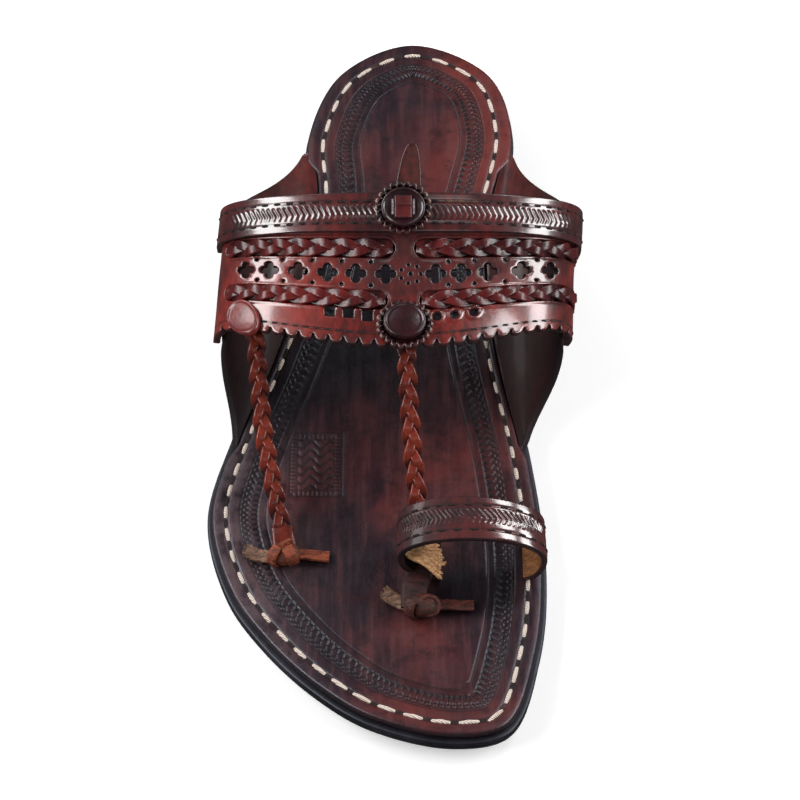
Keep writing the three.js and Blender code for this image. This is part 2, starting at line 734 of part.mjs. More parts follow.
// Knot: a round lump wound by one turn of the strip, with a tail on either side
function knot(made) {
  const base = insoleTop(made.y) + FIT_GAP + KNOT_RADIUS.z;
  const lump = new THREE.SphereGeometry(1, KNOT_SEGMENTS, KNOT_RINGS);
  lump.scale(KNOT_RADIUS.x, KNOT_RADIUS.y, KNOT_RADIUS.z);
  lump.translate(made.x, made.y, base);
  const wrap = new THREE.TorusGeometry(KNOT_WRAP_RADIUS, KNOT_WRAP_THICK, WRAP_SIDES, KNOT_SEGMENTS);
  wrap.scale(1, KNOT_WRAP_SQUASH, 1);
  wrap.rotateY(degToRad(KNOT_WRAP_TILT.lean));
  wrap.rotateZ(degToRad(KNOT_WRAP_TILT.turn));
  wrap.translate(made.x, made.y, base + KNOT_WRAP_RISE);
  let solid = solidOf(lump).add(solidOf(wrap));
  for (const end of made.tails) solid = solid.add(solidOf(tail(made, end)));
  return surfaceOf(solid);
}

// Assembly

const leather = (color, roughness) => new THREE.MeshStandardMaterial({ color, roughness });
const blackLeather = leather(0x26242a, 0.6);
const brownLeather = leather(0x3f2426, 0.5);
const earLeather = leather(0x4a2723, 0.55);
const redLeather = leather(0x7a2a26, 0.35);
const plaitLeather = leather(0x6d2a22, 0.4);
const knotLeather = leather(0xa5532f, 0.6);

const sandal = new THREE.Group();

function piece(name, geometry, material) {
  const mesh = new THREE.Mesh(geometry, material);
  mesh.name = name;
  sandal.add(mesh);
}

piece("outsole", outsole, blackLeather);
piece("heel_block", heelBlock, blackLeather);
piece("insole", insole, brownLeather);
piece("ear_left", ear(0), earLeather);
piece("ear_right", ear(1), earLeather);
piece("instep_band", instepBand(), redLeather);
piece("top_strip", topStrip(), redLeather);
for (const row of PLAITS) piece(row.name, bandPlait(row), plaitLeather);
piece("rear_washer", washer(REAR_MEDALLION), redLeather);
piece("rear_disc", medallionDisc(REAR_MEDALLION), redLeather);
piece("front_washer", washer(FRONT_MEDALLION), redLeather);
piece("front_disc", medallionDisc(FRONT_MEDALLION), redLeather);
piece("side_disc", disc(SIDE_DISC, BAND_THICK + FIT_GAP), redLeather);
piece("rear_tab", rearTab(), redLeather);
piece("toe_loop", toeLoop, redLeather);
piece("centre_thong", thong(CENTRE_THONG), plaitLeather);
piece("side_thong", thong(SIDE_THONG), plaitLeather);
for (const row of KNOTS) piece(row.name, knot(row), knotLeather);

export default sandal;
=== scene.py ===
"""Looks of a right-foot kolhapuri sandal: tooled sole, openwork instep band, plaits and toe loop.

Shapes are worked out in millimetres and scaled when a mesh is made.
+X is the big toe's side, +Y the heel and +Z up, and the floor is z = 0.
"""
import math

import bmesh
import bpy
import numpy as np
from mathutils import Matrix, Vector
from mathutils.geometry import delaunay_2d_cdt


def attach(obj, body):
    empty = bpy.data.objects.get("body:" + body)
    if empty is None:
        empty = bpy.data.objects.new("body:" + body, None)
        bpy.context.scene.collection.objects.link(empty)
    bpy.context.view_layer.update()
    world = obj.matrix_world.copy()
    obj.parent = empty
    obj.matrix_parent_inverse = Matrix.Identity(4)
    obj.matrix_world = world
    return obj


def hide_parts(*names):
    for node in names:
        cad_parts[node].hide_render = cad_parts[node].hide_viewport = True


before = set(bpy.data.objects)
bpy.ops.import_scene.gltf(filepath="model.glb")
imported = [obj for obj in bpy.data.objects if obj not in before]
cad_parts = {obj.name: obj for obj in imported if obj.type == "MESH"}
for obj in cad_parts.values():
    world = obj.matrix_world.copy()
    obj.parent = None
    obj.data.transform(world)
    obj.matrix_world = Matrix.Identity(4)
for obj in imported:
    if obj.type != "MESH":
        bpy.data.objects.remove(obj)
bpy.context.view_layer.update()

MM = 0.001

# Clearance between pieces, depth of the tooling and least step between two rings of points
GAP = 0.3
TOOL_DEPTH = 0.4
RING_STEP = 0.02

# Sole
OUTSOLE_THICK = 4.6
INSOLE_THICK = 3
HEEL_LIFT = 10
HEEL_SEAT_Y = 59.4
HEEL_BREAST_Y = 57
HEEL_INSET = 0.8
FLAT_BACK_Y = -25.6
FLAT_FRONT_Y = -85.6
TOE_SPRING = 5
TOE_SPRING_RUN = 50
INSOLE_STEP = 1.6
INSOLE_HEEL_STEP = 0.6
HEEL_FLUSH_RUN = 5
SOLE_OUTLINE = [
    (4.6, 136.5), (-19.9, 122.9), (-31, 93), (-30, 66), (-33.5, 36), (-42.5, 6), (-53, -24.5),
    (-59.2, -55), (-52.5, -82.3), (-41.7, -99.7), (-25.7, -117.4), (-8.4, -130.1), (16, -137),
    (32.5, -132.7), (42.2, -105.4), (45.2, -74), (41.8, -33), (33.2, 16), (31.8, 52),
    (38.7, 95), (30.6, 122.9),
]
OUTLINE_POINTS = 960

# Sides of the outsole and heel: distance in, share of the height, millimetres added
OUTSOLE_SIDE = [
    (3.0, 1, 0), (0.9, 1, 0), (0.3, 1, -0.12), (0.05, 1, -0.5), (0, 1, -1.4), (0.05, 1, -1.8),
    (0.4, 1, -2.05), (0.05, 1, -2.3), (0.15, 0, 1.4), (0.5, 0, 0.5), (1.1, 0, 0.05), (3.0, 0, 0),
]
HEEL_SHOULDER = [(0.6, 1, 0), (0.3, 1, -0.05), (0, 1, -0.3)]
HEEL_SEAMS = (6.3, 3.2)
HEEL_SEAM = [(0.05, 0, 0.35), (0.35, 0, 0), (0.1, 0, -0.35)]
HEEL_FOOT = [(0.1, 0, 0.9), (0.3, 0, 0.3), (0.6, 0, 0.0)]

# Upper: sections from behind the band to the ears' front ends, heights above the insole at the ball
UPPER_COLUMNS = (
    "run", "crest_y", "crest_z", "shoulder_y", "shoulder_z", "left", "right", "foot_y", "sweep",
)
UPPER_SECTIONS = [
    (-1.1, 64.7, 99, 80, 40, -50, 53, 88, 0),
    (0, 22.8, 61.5, 36.2, 35.5, -52.6, 54.4, 47, 0),
    (0.5, 0.7, 49.1, 16, 28, -54.4, 53, 26, 0.5),
    (1, -24.8, 44, -6, 22, -55.8, 52, 3, 1),
    (1.7, -60, 45.9, -26, 20, -58, 49, -31, 1),
]
CREST_X = 2
BAND_ROUND = 2.35
BAND_THICK = 2.2
BAND_LENGTH = 50.7
BAND_END = 70

# Ears
EAR_THICK = 2.4
EAR_FOOT_GAP = 0.6
EAR_STEP = 2.2
EAR_SEAM = 0.45
EAR_BLEND = 12
EAR_UNDER_BAND = 1.06
EAR_TIP = 0.12
EAR_TIP_RUN = 0.09
EAR_REAR_POWER = 1.4
EAR_FRONT_POWER = 1.2
EAR_HEIGHT = 48

# Creases of an ear: place along it, lean, width and depth, and the heights between which they start
EAR_CREASE_START = (4, 16)
EAR_CREASES = [(62, -0.25, 1.6, 0.5), (-20, 0.3, 2.2, 0.4), (34, -0.1, 2.6, 0.35)]

# Openwork of the band: places along it and runs across it
CLOVERS = [-50.5, -42.3, -32.9, -23.7, -15, -5.9, 9.2, 16.9, 25.2, 36, 46.3]
CLOVER_RUN = 0.515
LEAF_RADIUS = 1.35
LEAF_REACH = 1.8
SLOT_SIZE = (3, 4)
EYELET_RADIUS = 1.35
PINHOLE_RADIUS = 0.62
PINHOLE_RISE = 3.9
FLOWER_S = 1.6
FLOWER_RADIUS = 3.1
FLOWER_HOLES = 7
PINK_PITCH = 4.7
PINK_DEPTH = 2.3
PINK_GAP = 0.3
LAST_TOOTH = 13.5 * PINK_PITCH
RIGHT_END_RISE = 5
RIGHT_END_FROM = 56
SLOTS = [(-23, 0.775), (-17.2, 0.775), (-11.4, 0.79)]
EYELETS = [(9.5, 0.8), (14.9, 0.795), (20.9, 0.79)]
STITCH_RUN = 0.915

# Raised rim of an eyelet: distance out from the hole, and height
EYELET_RIM = [(0.45, 0.5), (0.85, 0.45), (1.3, 0.0)]

# Strip along the band's rear edge
STRIP_THICK = 1.5
STRIP_RUN = 0.25
STRIP_END_RUN = 0.29
STRIP_WIDENS_AT = 23.3
STRIP_ROWS = (0.22, 0.77)
STRIP_CUTS = (0.32, 0.56, 0.68)
STRIP_CUT_PITCH = 1.75
STRIP_CUT_FADE = (50, 58)
CUT_LEAN = 0.5

# Plaits on the band, in sunk windows: node, first and last place along the band, run
PLAIT_PITCH = 6.9
PLAIT_SWING = 1.65
PLAIT_RISE = 0.62
PLAIT_STRIP = (3.0, 1.15)
PLAIT_LIFT = 1.55
PLAIT_END_GAP = 0.8
PLAIT_END_SINK = 0.9
PLAITS = [
    ("braid_upper_left", -3.0, -59, 0.35),
    ("braid_upper_right", 2.6, 63, 0.35),
    ("braid_lower_left", -5.2, -59, 0.69),
    ("braid_lower_right", 4.2, 63, 0.69),
]
WINDOW_HALF_WIDTH = 3.3
WINDOW_DEPTH = 1.3

# Rim of a window: distance in from its loop, and height
WINDOW_RIM = [(-0.75, 0.0), (-0.25, 0.4), (0.0, 0.25), (0.3, -WINDOW_DEPTH)]

# Medallions
WASHER_RADIUS = 8.9
WASHER_THICK = 1.2
WASHER_TEETH = 22
WASHER_INNER = 2.0
WASHER_FLOOR = 0.6
DISC_THICK = 2.3
REAR_DISC_RADIUS = 6.6
REAR_DISH = 0.9
FRONT_DISC_RADIUS = 6.3
FRONT_DISH = -0.7
REAR_MEDALLION = {"s": -0.6, "run": 0.1, "layer": STRIP_THICK + GAP}
FRONT_MEDALLION = {"s": -0.2, "run": 0.86, "layer": 0}
SIDE_DISC = {"s": -51, "run": 0.92, "stretch": 1.4}
SIDE_DISC_RADIUS = 5.8
SIDE_DISC_THICK = 2
SIDE_DISH = 0.15

# Ring of a washer's teeth: its width, and its section by distance in from the radius, and height
TEETH_WIDTH = 1.9
TEETH_SECTION = [
    (0.2, 0), (0, 0.3), (0, 0.75), (0.3, 1.15), (0.8, 1.35), (1.3, 1.2), (1.75, 0.8),
    (2.0, WASHER_FLOOR),
]
TOOTH_POINTS = 12

# Short strap threaded through the rear medallion
STRAP_HALF = np.array((2.7, 3.9))
STRAP_THICK = 1.3
STRAP_SINK = 1.25
SLIT_HALF = 2.6
SLIT_GAP = 0.45
SLIT_POINTS = 14

# Tab behind the rear medallion
TAB_THICK = 1.8
TAB_HALF_WIDTH = 4.3
TAB_RUN = (0.14, -0.3)
TAB_S = 0.8
TAB_LEAN = 1.3
TAB_TIP = 0.012
TAB_TAPER = 0.32

# Toe loop
LOOP_THICK = 2.2
LOOP_ROUND = 2
LOOP_COLUMNS = (
    "run", "crest_x", "crest_y", "crest_z", "left", "left_z", "right", "right_z",
    "foot_left", "foot_right", "foot_y",
)
LOOP_SECTIONS = [
    (0, 18.4, -64.7, 22.4, 1.8, 13, 42, 10.5, 13, 37.6, -66),
    (1, 21.2, -78.9, 20.6, 1.6, 11.6, 42.6, 9.5, 13, 37.6, -79.7),
]
LOOP_QUARTER = 24
LOOP_WIDTH = 14.3
LOOP_ROWS = (0.2, 0.78)
LOOP_CUTS = (0.29, 0.5, 0.62)
LOOP_CUT_PITCH = 1.2
LOOP_CUT_FADE = (40, 48)

# Torn raw end inside the toe loop: its left and right ends, and its length along the shoe
TORN_FLAP = {"left": (2.0, -75.0, 17.6), "right": (12.9, -75.6, 13.2), "length": 13.4}
FLAP_THICK = 1.3
FLAP_FIBRES = 40
FIBRE_POINTS = 9

# Thongs: places after the band's front edge, heights above the insole at the ball
THONG_THICK = 1.7
THONG_PITCH = 6.8
THONG_SWING = 1.5
THONG_RISE = 0.75
THONG_STRIP = (2.9, 1.4)
THONG_START_RUN = 0.86
CENTRE_THONG = {
    "start_s": 0.4, "edge_s": 0.4, "drop": 0.3,
    "path": [(4, -46, 26), (6.4, -62.5, 12.6), (9, -73, 5.4)],
}
SIDE_THONG = {
    "start_s": -51, "edge_s": -50, "drop": 2,
    "path": [(-41.5, -36, 18), (-35.2, -64.5, 2.1)],
}

# Flat ends of the thongs: places, heights above the insole at the ball, and depth below the thong
SIDE_COLLAR = {
    "path": [(-35.2, -65.5, 3.2), (-34.6, -70.5, 2.2)],
    "sink": 0, "width": 7.2, "thick": 2.6,
}
CENTRE_COLLAR = {
    "path": [(6.0, -79.5, 3.4), (4.7, -85, 4.2), (4.6, -90.5, 2.4)],
    "sink": 3.2, "width": 8, "thick": 3.4,
}
COLLAR_OVERLAP = 9

# Knots: place, frayed left and flat right tail (direction in degrees, length, width), and turns
# (offset of the centre, axis, radius, first and last angle, width of the strip)
KNOT_RADII = (4.8, 4.0, 3.2)
KNOT_RISE = 3.0
# Painted shade on the knot's lump, which lies inside its turns.
KNOT_PAINTED_SHADE = 0.6
TURN_SLIP = 0.5
TURN_THICK = 1.5
TURN_POINTS = 60
FLAT_TAIL_CURL = 0.8
FLAT_TAIL_THICK = 1.2
FRAYED_TAIL_CURL = 9.0
FRAYED_TAIL_THICK = 1.5
TAIL_POINTS = 28
CENTRE_KNOT = {
    "x": 7.2, "y": -90.2, "left_tail": (158, 12.5, 4.4), "right_tail": (6, 15.5, 4.2),
    "turns": [
        ((1.8, -0.6, 0.6), (0.1, -0.55, 0.85), 2.9, 0, 350, 2.8),
        ((1.8, -0.7, 1.3), (0.1, -0.55, 0.85), 1.3, 0, 350, 1.8),
        ((-1.9, -0.4, 0.2), (0.75, -0.6, 0.1), 3.4, -60, 250, 3.4),
    ],
}
SIDE_KNOT = {
    "x": -34.6, "y": -71.6, "left_tail": (174, 12, 4.2), "right_tail": (3, 13.5, 4.4),
    "turns": [
        ((1.4, 0.2, 0.4), (0.9, 0.45, 0.1), 3.4, -80, 260, 3.6),
        ((-1.9, -0.4, 0.1), (0.8, -0.6, 0.0), 3.2, -80, 260, 3.2),
    ],
}

# Tooling of the insole: distances in from the outsole's edge
STITCH_LINE = 5.9
BORDER_LINES = (10.1, 18.2)
BORDER_INNER = 19.5
INSOLE_MIDDLE = 30

# Edge of the insole: distance in, height below the top face, and how far it is burnished
INSOLE_SIDE = [(0, -INSOLE_THICK, 1.0), (0, -0.9, 1.0), (0.25, -0.25, 0.7), (0.8, 0.0, 0.0)]

# Stamped border: row of triangles, and rows of scallops by distance in, radius and shift in pitches
BORDER_PITCH = 2.6
BORDER_TEETH = (13.6, 15.8)
BORDER_SCALLOPS = [(13.3, 1.25, 0.5), (12.0, 1.1, 0.0)]
BORDER_RINGS = [
    *(5.0, 5.4, 5.9, 6.4, 6.9, 7.6, 8.4, 9.2, 9.6), *np.arange(9.85, 16.3, 0.29),
    *(17.0, 17.6, 17.95, 18.2, 18.45, 18.8, BORDER_INNER),
]

# Stamped panel: its place and size, and distances in from its edge
STAMP_CENTRE = np.array((-25.8, -35.7))
STAMP_SIZE = (16.2, 24.4)
STAMP_SPACING = 0.42
STAMP_MARGIN = 0.6
STAMP_TICK = 1.4
STAMP_TICKS_IN = 2.1
STAMP_LINE_IN = 2.4
STAMP_WAVES_IN = 2.7
WAVE_LENGTH = 6.0
WAVE_PITCH = 3.4

# Stitches: length, width, height and dip at the ends
INSOLE_STITCH = (4.7, 1.35, 1.2, 0.35)
STITCH_HOLE_SHADE = (3.4, 1.3, 0.4, 0.1)
UPPER_STITCH = (2.3, 0.85, 0.6, 0.12)

# Rows of stitches: pitches, spans along the band, and turns round the toe loop
STITCH_PITCH_TOE = 8.3
STITCH_PITCH_HEEL = 9.3
STRIP_STITCH_PITCH = 3.9
STRIP_STITCH_SPANS = ((-66, -9.5), (9, 66))
FRONT_STITCH_PITCH = 3.4
FRONT_STITCH_SPANS = ((-44, -10), (10.5, 62))
LOOP_STITCH_TURNS = np.arange(-1.15, 1.2, 0.15)
STITCH_LIFT = 0.02

# Camera: the photograph's angle, distance and frame
VIEW_TARGET = (0.4, -10.6, 7.9)
VIEW_ELEVATION = 53
VIEW_DISTANCE = 900
VIEW_LENS = 127.45
SENSOR_WIDTH = 36

# Stage: the floor's reach in metres, its glow and the room's, and area lights by place and aim in
# metres, length and width, and watts
FLOOR_REACH = 6.0
FLOOR_GLOW = 0.36
ROOM_GLOW = 0.06
LIGHTS = [
    ("left", (-0.9, 0.0, 0.72), (0, 0, 0.04), (1.3, 0.4), 14.5),
    ("right", (0.95, 0.0, 0.55), (0, 0, 0.05), (1.1, 0.32), 10.5),
    ("front", (0.2, -0.9, 1.1), (0, 0, 0.02), (0.6, 0.4), 0.8),
    ("back_left", (-0.6, 0.9, 1.0), (0, 0, 0.02), (0.6, 0.3), 1.6),
    ("back_right", (0.65, 0.55, 0.95), (0, 0, 0.02), (0.35, 0.3), 3.2),
]


def mix(a, b, t):
    return a + (b - a) * t


def smoothstep(x, low, high):
    t = np.clip((x - low) / (high - low), 0, 1)
    return t * t * (3 - 2 * t)


def unit(v):
    return v / np.maximum(np.linalg.norm(v, axis=-1, keepdims=True), 1e-9)


# Curves

def lengths_along(line):
    """Length from a line's start to each of its points."""
    return np.concatenate([[0], np.cumsum(np.linalg.norm(np.diff(line, axis=0), axis=1))])


def at_lengths(wanted, lengths, table):
    """Rows of a table of points or directions at lengths along a line."""
    return np.stack([np.interp(wanted, lengths, column) for column in table.T], axis=1)


def resample(line, count):
    """Points evenly spread in length along a line, both ends included."""
    lengths = lengths_along(line)
    return at_lengths(np.linspace(0, lengths[-1], count), lengths, line)


def smooth_curve(points, closed, count, steps=40):
    """A centripetal curve through points, evenly sampled. A closed one doesn't repeat its start."""
    points = np.asarray(points, float)
    if closed:
        around = np.vstack([points[-1], points, points[:2]])
    else:
        around = np.vstack([2 * points[0] - points[1], points, 2 * points[-1] - points[-2]])
    t = np.linspace(0, 1, steps, endpoint=False)[:, None]
    pieces = []
    for p0, p1, p2, p3 in zip(around, around[1:], around[2:], around[3:]):
        d0, d1, d2 = (np.linalg.norm(b - a) ** 0.5 for a, b in ((p0, p1), (p1, p2), (p2, p3)))
        leave = ((p1 - p0) / d0 - (p2 - p0) / (d0 + d1) + (p2 - p1) / d1) * d1
        arrive = ((p2 - p1) / d1 - (p3 - p1) / (d1 + d2) + (p3 - p2) / d2) * d1
        square = 3 * (p2 - p1) - 2 * leave - arrive
        cube = 2 * (p1 - p2) + leave + arrive
        pieces.append(p1 + leave * t + square * t**2 + cube * t**3)
    line = np.vstack(pieces + [points[:1] if closed else points[-1:]])
    if closed:
        return resample(line, count + 1)[:-1]
    return resample(line, count)


def column(rows, names, name, run):
    """One column of a table of sections at places along it, on a smooth curve through the rows."""
    table = np.array(rows, float)
    runs, values = table[:, 0], table[:, names.index(name)]
    last = len(runs) - 1
    before = np.maximum(np.arange(last + 1) - 1, 0)
    after = np.minimum(np.arange(last + 1) + 1, last)
    slope = (values[after] - values[before]) / (runs[after] - runs[before])
    i = np.searchsorted(runs[1:-1], run, side="left")
    span = runs[i + 1] - runs[i]
    t = (run - runs[i]) / span
    ends = mix(values[i], values[i + 1], t * t * (3 - 2 * t))
    return ends + t * (1 - t) ** 2 * span * slope[i] + t * t * (t - 1) * span * slope[i + 1]


# Sole

def outsole_bottom(y):
    spring = np.maximum(FLAT_FRONT_Y - y, 0) / TOE_SPRING_RUN
    return HEEL_LIFT * smoothstep(y, FLAT_BACK_Y, HEEL_SEAT_Y) + TOE_SPRING * spring**2


def outsole_top(y):
    return outsole_bottom(y) + OUTSOLE_THICK


def insole_bottom(y):
    return outsole_top(y) + GAP


def insole_top(y):
    return insole_bottom(y) + INSOLE_THICK


BALL_TOP = float(insole_top(FLAT_FRONT_Y))
FOOT_COLUMN = UPPER_COLUMNS.index("foot_y")
EAR_FRONT_Y = UPPER_SECTIONS[-1][FOOT_COLUMN]
EAR_BACK_Y = UPPER_SECTIONS[0][FOOT_COLUMN]
outline = smooth_curve(SOLE_OUTLINE, True, OUTLINE_POINTS)


def insole_inset(y):
    """How far the insole's solid lies in, with room for the ears."""
    front = smoothstep(y, EAR_FRONT_Y - EAR_BLEND, EAR_FRONT_Y)
    back = 1 - smoothstep(y, EAR_BACK_Y, EAR_BACK_Y + EAR_BLEND)
    return INSOLE_STEP + EAR_STEP * front * back


def insole_edge_inset(y):
    """How far the insole's edge lies in: close against the ears, and nearly flush round the heel.

    It lies over the ears' low ends.
    """
    ears = smoothstep(y, EAR_FRONT_Y - 3, EAR_FRONT_Y + HEEL_FLUSH_RUN)
    heel = smoothstep(y, EAR_BACK_Y - EAR_BLEND, EAR_BACK_Y - HEEL_FLUSH_RUN)
    return mix(INSOLE_STEP + (EAR_STEP - EAR_SEAM) * ears, INSOLE_HEEL_STEP, heel)


def sole_edge(side, y):
    """The outsole's little-toe (0) or big-toe (1) edge at places along the shoe."""
    y = np.asarray(y, float)
    heel, toe = np.argmax(outline[:, 1]), np.argmin(outline[:, 1])
    turned = np.roll(outline, -heel, axis=0)
    middle = (toe - heel) % len(outline)
    left, right = turned[: middle + 1][::-1], turned[middle:]
    half = right if side else left
    return np.interp(y, half[:, 1], half[:, 0])


# Arched straps

def arch_point(arch, turn):
    """Points of an arch: turn 0 at its crest, 1 at its shoulder, 2 at its foot, negative on the left."""
    left = (turn < 0)[..., None]
    shoulder = np.where(left, arch["shoulder"][0], arch["shoulder"][1])
    foot = np.where(left, arch["foot"][0], arch["foot"][1])
    crest, sweep, power = arch["crest"], arch["sweep"], 2 / arch["round"]
    reach = np.clip(np.abs(turn), 0, 2)
    on_top = reach <= 1
    angle = np.where(on_top, reach, reach - 1) * math.pi / 2
    sine, cosine = np.sin(angle), np.maximum(np.cos(angle), 0)
    out, up = sine**power, cosine**power
    back = mix(1 - up, out * out, sweep)
    above = np.stack([
        mix(crest[..., 0], shoulder[..., 0], out),
        mix(crest[..., 1], shoulder[..., 1], back),
        mix(shoulder[..., 2], crest[..., 2], up),
    ], axis=-1)
    below = np.stack([
        mix(foot[..., 0], shoulder[..., 0], cosine),
        mix(shoulder[..., 1], foot[..., 1], mix(sine, 1 - cosine, sweep)),
        mix(shoulder[..., 2], foot[..., 2], sine),
    ], axis=-1)
    return np.where(on_top[..., None], above, below)


def points_of(x, y, z):
    return np.stack(np.broadcast_arrays(x, y, z), axis=-1).astype(float)


def upper_by_turn(turn, run):
    """The upper's inner face, by turn round the arch."""
    turn, run = np.broadcast_arrays(np.asarray(turn, float), np.asarray(run, float))
    row = {name: column(UPPER_SECTIONS, UPPER_COLUMNS, name, run) for name in UPPER_COLUMNS[1:]}
    foot_y = row["foot_y"]
    feet = []
    for side, way in ((0, -1), (1, 1)):
        x = sole_edge(side, foot_y) - way * insole_inset(foot_y) + way * EAR_FOOT_GAP
        feet.append(points_of(x, foot_y, outsole_top(foot_y)))
    shoulder_z = BALL_TOP + row["shoulder_z"]
    arch = {
        "crest": points_of(CREST_X, row["crest_y"], BALL_TOP + row["crest_z"]),
        "shoulder": [points_of(row[side], row["shoulder_y"], shoulder_z) for side in ("left", "right")],
        "foot": feet, "sweep": row["sweep"], "round": BAND_ROUND,
    }
    return arch_point(arch, turn)


def loop_by_turn(turn, run):
    """The toe loop's inner face, by turn round the arch."""
    turn, run = np.broadcast_arrays(np.asarray(turn, float), np.asarray(run, float))
    row = {name: column(LOOP_SECTIONS, LOOP_COLUMNS, name, run) for name in LOOP_COLUMNS[1:]}
    floor = insole_top(row["foot_y"]) + GAP + LOOP_THICK
    arch = {
        "crest": points_of(row["crest_x"], row["crest_y"], BALL_TOP + row["crest_z"]),
        "shoulder": [
            points_of(row[side], row["crest_y"], BALL_TOP + row[side + "_z"])
            for side in ("left", "right")
        ],
        "foot": [points_of(row["foot_" + side], row["foot_y"], floor) for side in ("left", "right")],
        "sweep": 0, "round": LOOP_ROUND,
    }
    return arch_point(arch, turn)


def lifted(surface, p, q, lift, step=2e-3):
    """Points lifted off a surface of two numbers."""
    along = surface(p + step, q) - surface(p - step, q)
    across = surface(p, q + step) - surface(p, q - step)
    out = unit(np.cross(across, along))
    return surface(p, q) + out * np.asarray(lift, float)[..., None]


class BandSurface:
    """The band's inner face by length from its crest and by run, kept as a fine table."""

    LENGTH_STEP = 0.75
    RUN_STEP = 0.02
    LENGTHS = np.arange(-96, 96.1, LENGTH_STEP)
    RUNS = np.arange(-0.5, 1.141, RUN_STEP)

    def __init__(self):
        turns = np.linspace(0, 2, 241)
        grid = np.empty((len(self.LENGTHS), len(self.RUNS), 3))
        for j, run in enumerate(self.RUNS):
            for way, chosen in ((-1, self.LENGTHS < 0), (1, self.LENGTHS >= 0)):
                arc = upper_by_turn(way * np.maximum(turns, 1e-6), run)
                grid[chosen, j] = at_lengths(np.abs(self.LENGTHS[chosen]), lengths_along(arc), arc)
        self.grid = grid
        self.out = unit(np.cross(np.gradient(grid, axis=1), np.gradient(grid, axis=0)))

    def __call__(self, s, run, lift=0.0):
        s, run, lift = np.broadcast_arrays(*(np.asarray(v, float) for v in (s, run, lift)))
        u = np.clip((s - self.LENGTHS[0]) / self.LENGTH_STEP, 0, len(self.LENGTHS) - 1.001)
        v = np.clip((run - self.RUNS[0]) / self.RUN_STEP, 0, len(self.RUNS) - 1.001)
        i, j = u.astype(int), v.astype(int)
        fu, fv = (u - i)[..., None], (v - j)[..., None]

        def between(table):
            low = mix(table[i, j], table[i + 1, j], fu)
            high = mix(table[i, j + 1], table[i + 1, j + 1], fu)
            return mix(low, high, fv)

        return between(self.grid) + unit(between(self.out)) * lift[..., None]


on_band = BandSurface()


def band_place(a, b, height):
    """A cut pattern's length along and across the band, in millimetres, on the band."""
    return on_band(a, b / BAND_LENGTH, height)


# Meshes

def facing_out(points, faces):
    """Faces turned so that a closed surface faces outwards."""
    volume = 0.0
    for size in (3, 4):
        group = np.array([f for f in faces if len(f) == size])
        if len(group):
            a, b, c, d = (points[group[:, k]] for k in (0, 1, 2, size - 1))
            volume += np.einsum("ij,ij->i", a, np.cross(b, c)).sum()
            volume += np.einsum("ij,ij->i", a, np.cross(c, d)).sum() if size == 4 else 0
    return [f[::-1] for f in faces] if volume < 0 else faces


def make_mesh(name, points, faces, material, uv=None, marks=None):
    """A smooth mesh in metres, with an optional cut pattern (UV) and named marks on its points."""
    mesh = bpy.data.meshes.new(name)
    mesh.from_pydata((points * MM).tolist(), [], faces)
    mesh.materials.append(material)
    mesh.polygons.foreach_set("use_smooth", [True] * len(mesh.polygons))
    if uv is not None:
        corners = np.empty(len(mesh.loops), int)
        mesh.loops.foreach_get("vertex_index", corners)
        mesh.uv_layers.new(name="cut").data.foreach_set("uv", np.asarray(uv, float)[corners].ravel())
    for label, values in (marks or {}).items():
        mark = mesh.attributes.new(label, "FLOAT", "POINT")
        mark.data.foreach_set("value", np.asarray(values, float))
    mesh.update()
    return mesh


def add_piece(name, mesh, slot, *nodes):
    """Puts a finished mesh in the scene, on the sandal's one body."""
    piece = bpy.data.objects.new(name, mesh)
    bpy.context.scene.collection.objects.link(piece)
    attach(piece, "root")
    if nodes:
        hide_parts(*nodes)


def add_leather(name, cut, finish, slot, *nodes):
    """Adds a piece from its points, faces, cut pattern and marks."""
    points, faces, uv, marks = cut
    add_piece(name, make_mesh(name, points, faces, finish, uv, marks), slot, *nodes)


def merge_into(mesh, other):
    """Adds another mesh's faces to a mesh, and removes the other."""
    first = len(mesh.materials)
    for material in other.materials:
        mesh.materials.append(material)
    for polygon in other.polygons:
        polygon.material_index += first
    work = bmesh.new()
    work.from_mesh(mesh)
    work.from_mesh(other)
    work.to_mesh(mesh)
    work.free()
    bpy.data.meshes.remove(other)


def ring_faces(upper, lower):
    """Four-sided faces between two closed rings of points, given by their numbers."""
    size = len(upper)
    return [(upper[k], lower[k], lower[(k + 1) % size], upper[(k + 1) % size]) for k in range(size)]


def without_spares(faces, *tables):
    """Faces renumbered, and tables of the points' values, without the points that no face uses."""
    used = np.unique(np.concatenate([np.array(f) for f in faces]))
    renumbered = np.zeros(used[-1] + 1, int)
    renumbered[used] = np.arange(len(used))
    return [tuple(int(renumbered[i]) for i in f) for f in faces], *(table[used] for table in tables)


# Leather cut to a pattern

def inside(loop, points):
    """Which points lie inside a closed loop."""
    x, y = points[:, :1], points[:, 1:2]
    ax, ay = loop[:, 0], loop[:, 1]
    bx, by = np.roll(ax, -1), np.roll(ay, -1)
    crosses = (ay > y) != (by > y)
    slope = (bx - ax) / np.where(by == ay, 1e-12, by - ay)
    return (crosses & (x < ax + slope * (y - ay))).sum(axis=1) % 2 == 1


def anticlockwise(loop):
    x, y = loop[:, 0], loop[:, 1]
    area = (x * np.roll(y, -1) - np.roll(x, -1) * y).sum()
    return loop if area > 0 else loop[::-1]


def moved_in(loop, distance):
    """An anticlockwise loop moved towards its inside."""
    tangent = unit(np.roll(loop, -1, axis=0) - np.roll(loop, 1, axis=0))
    return loop + np.stack([-tangent[:, 1], tangent[:, 0]], axis=1) * distance


def closed_line(corners, step):
    """A closed polygon with points no further apart than a step."""
    pieces = []
    for a, b in zip(corners, np.roll(corners, -1, axis=0)):
        count = max(int(math.ceil(np.linalg.norm(b - a) / step)), 1)
        pieces.append(mix(a, b, np.linspace(0, 1, count, endpoint=False)[:, None]))
    return np.vstack(pieces)


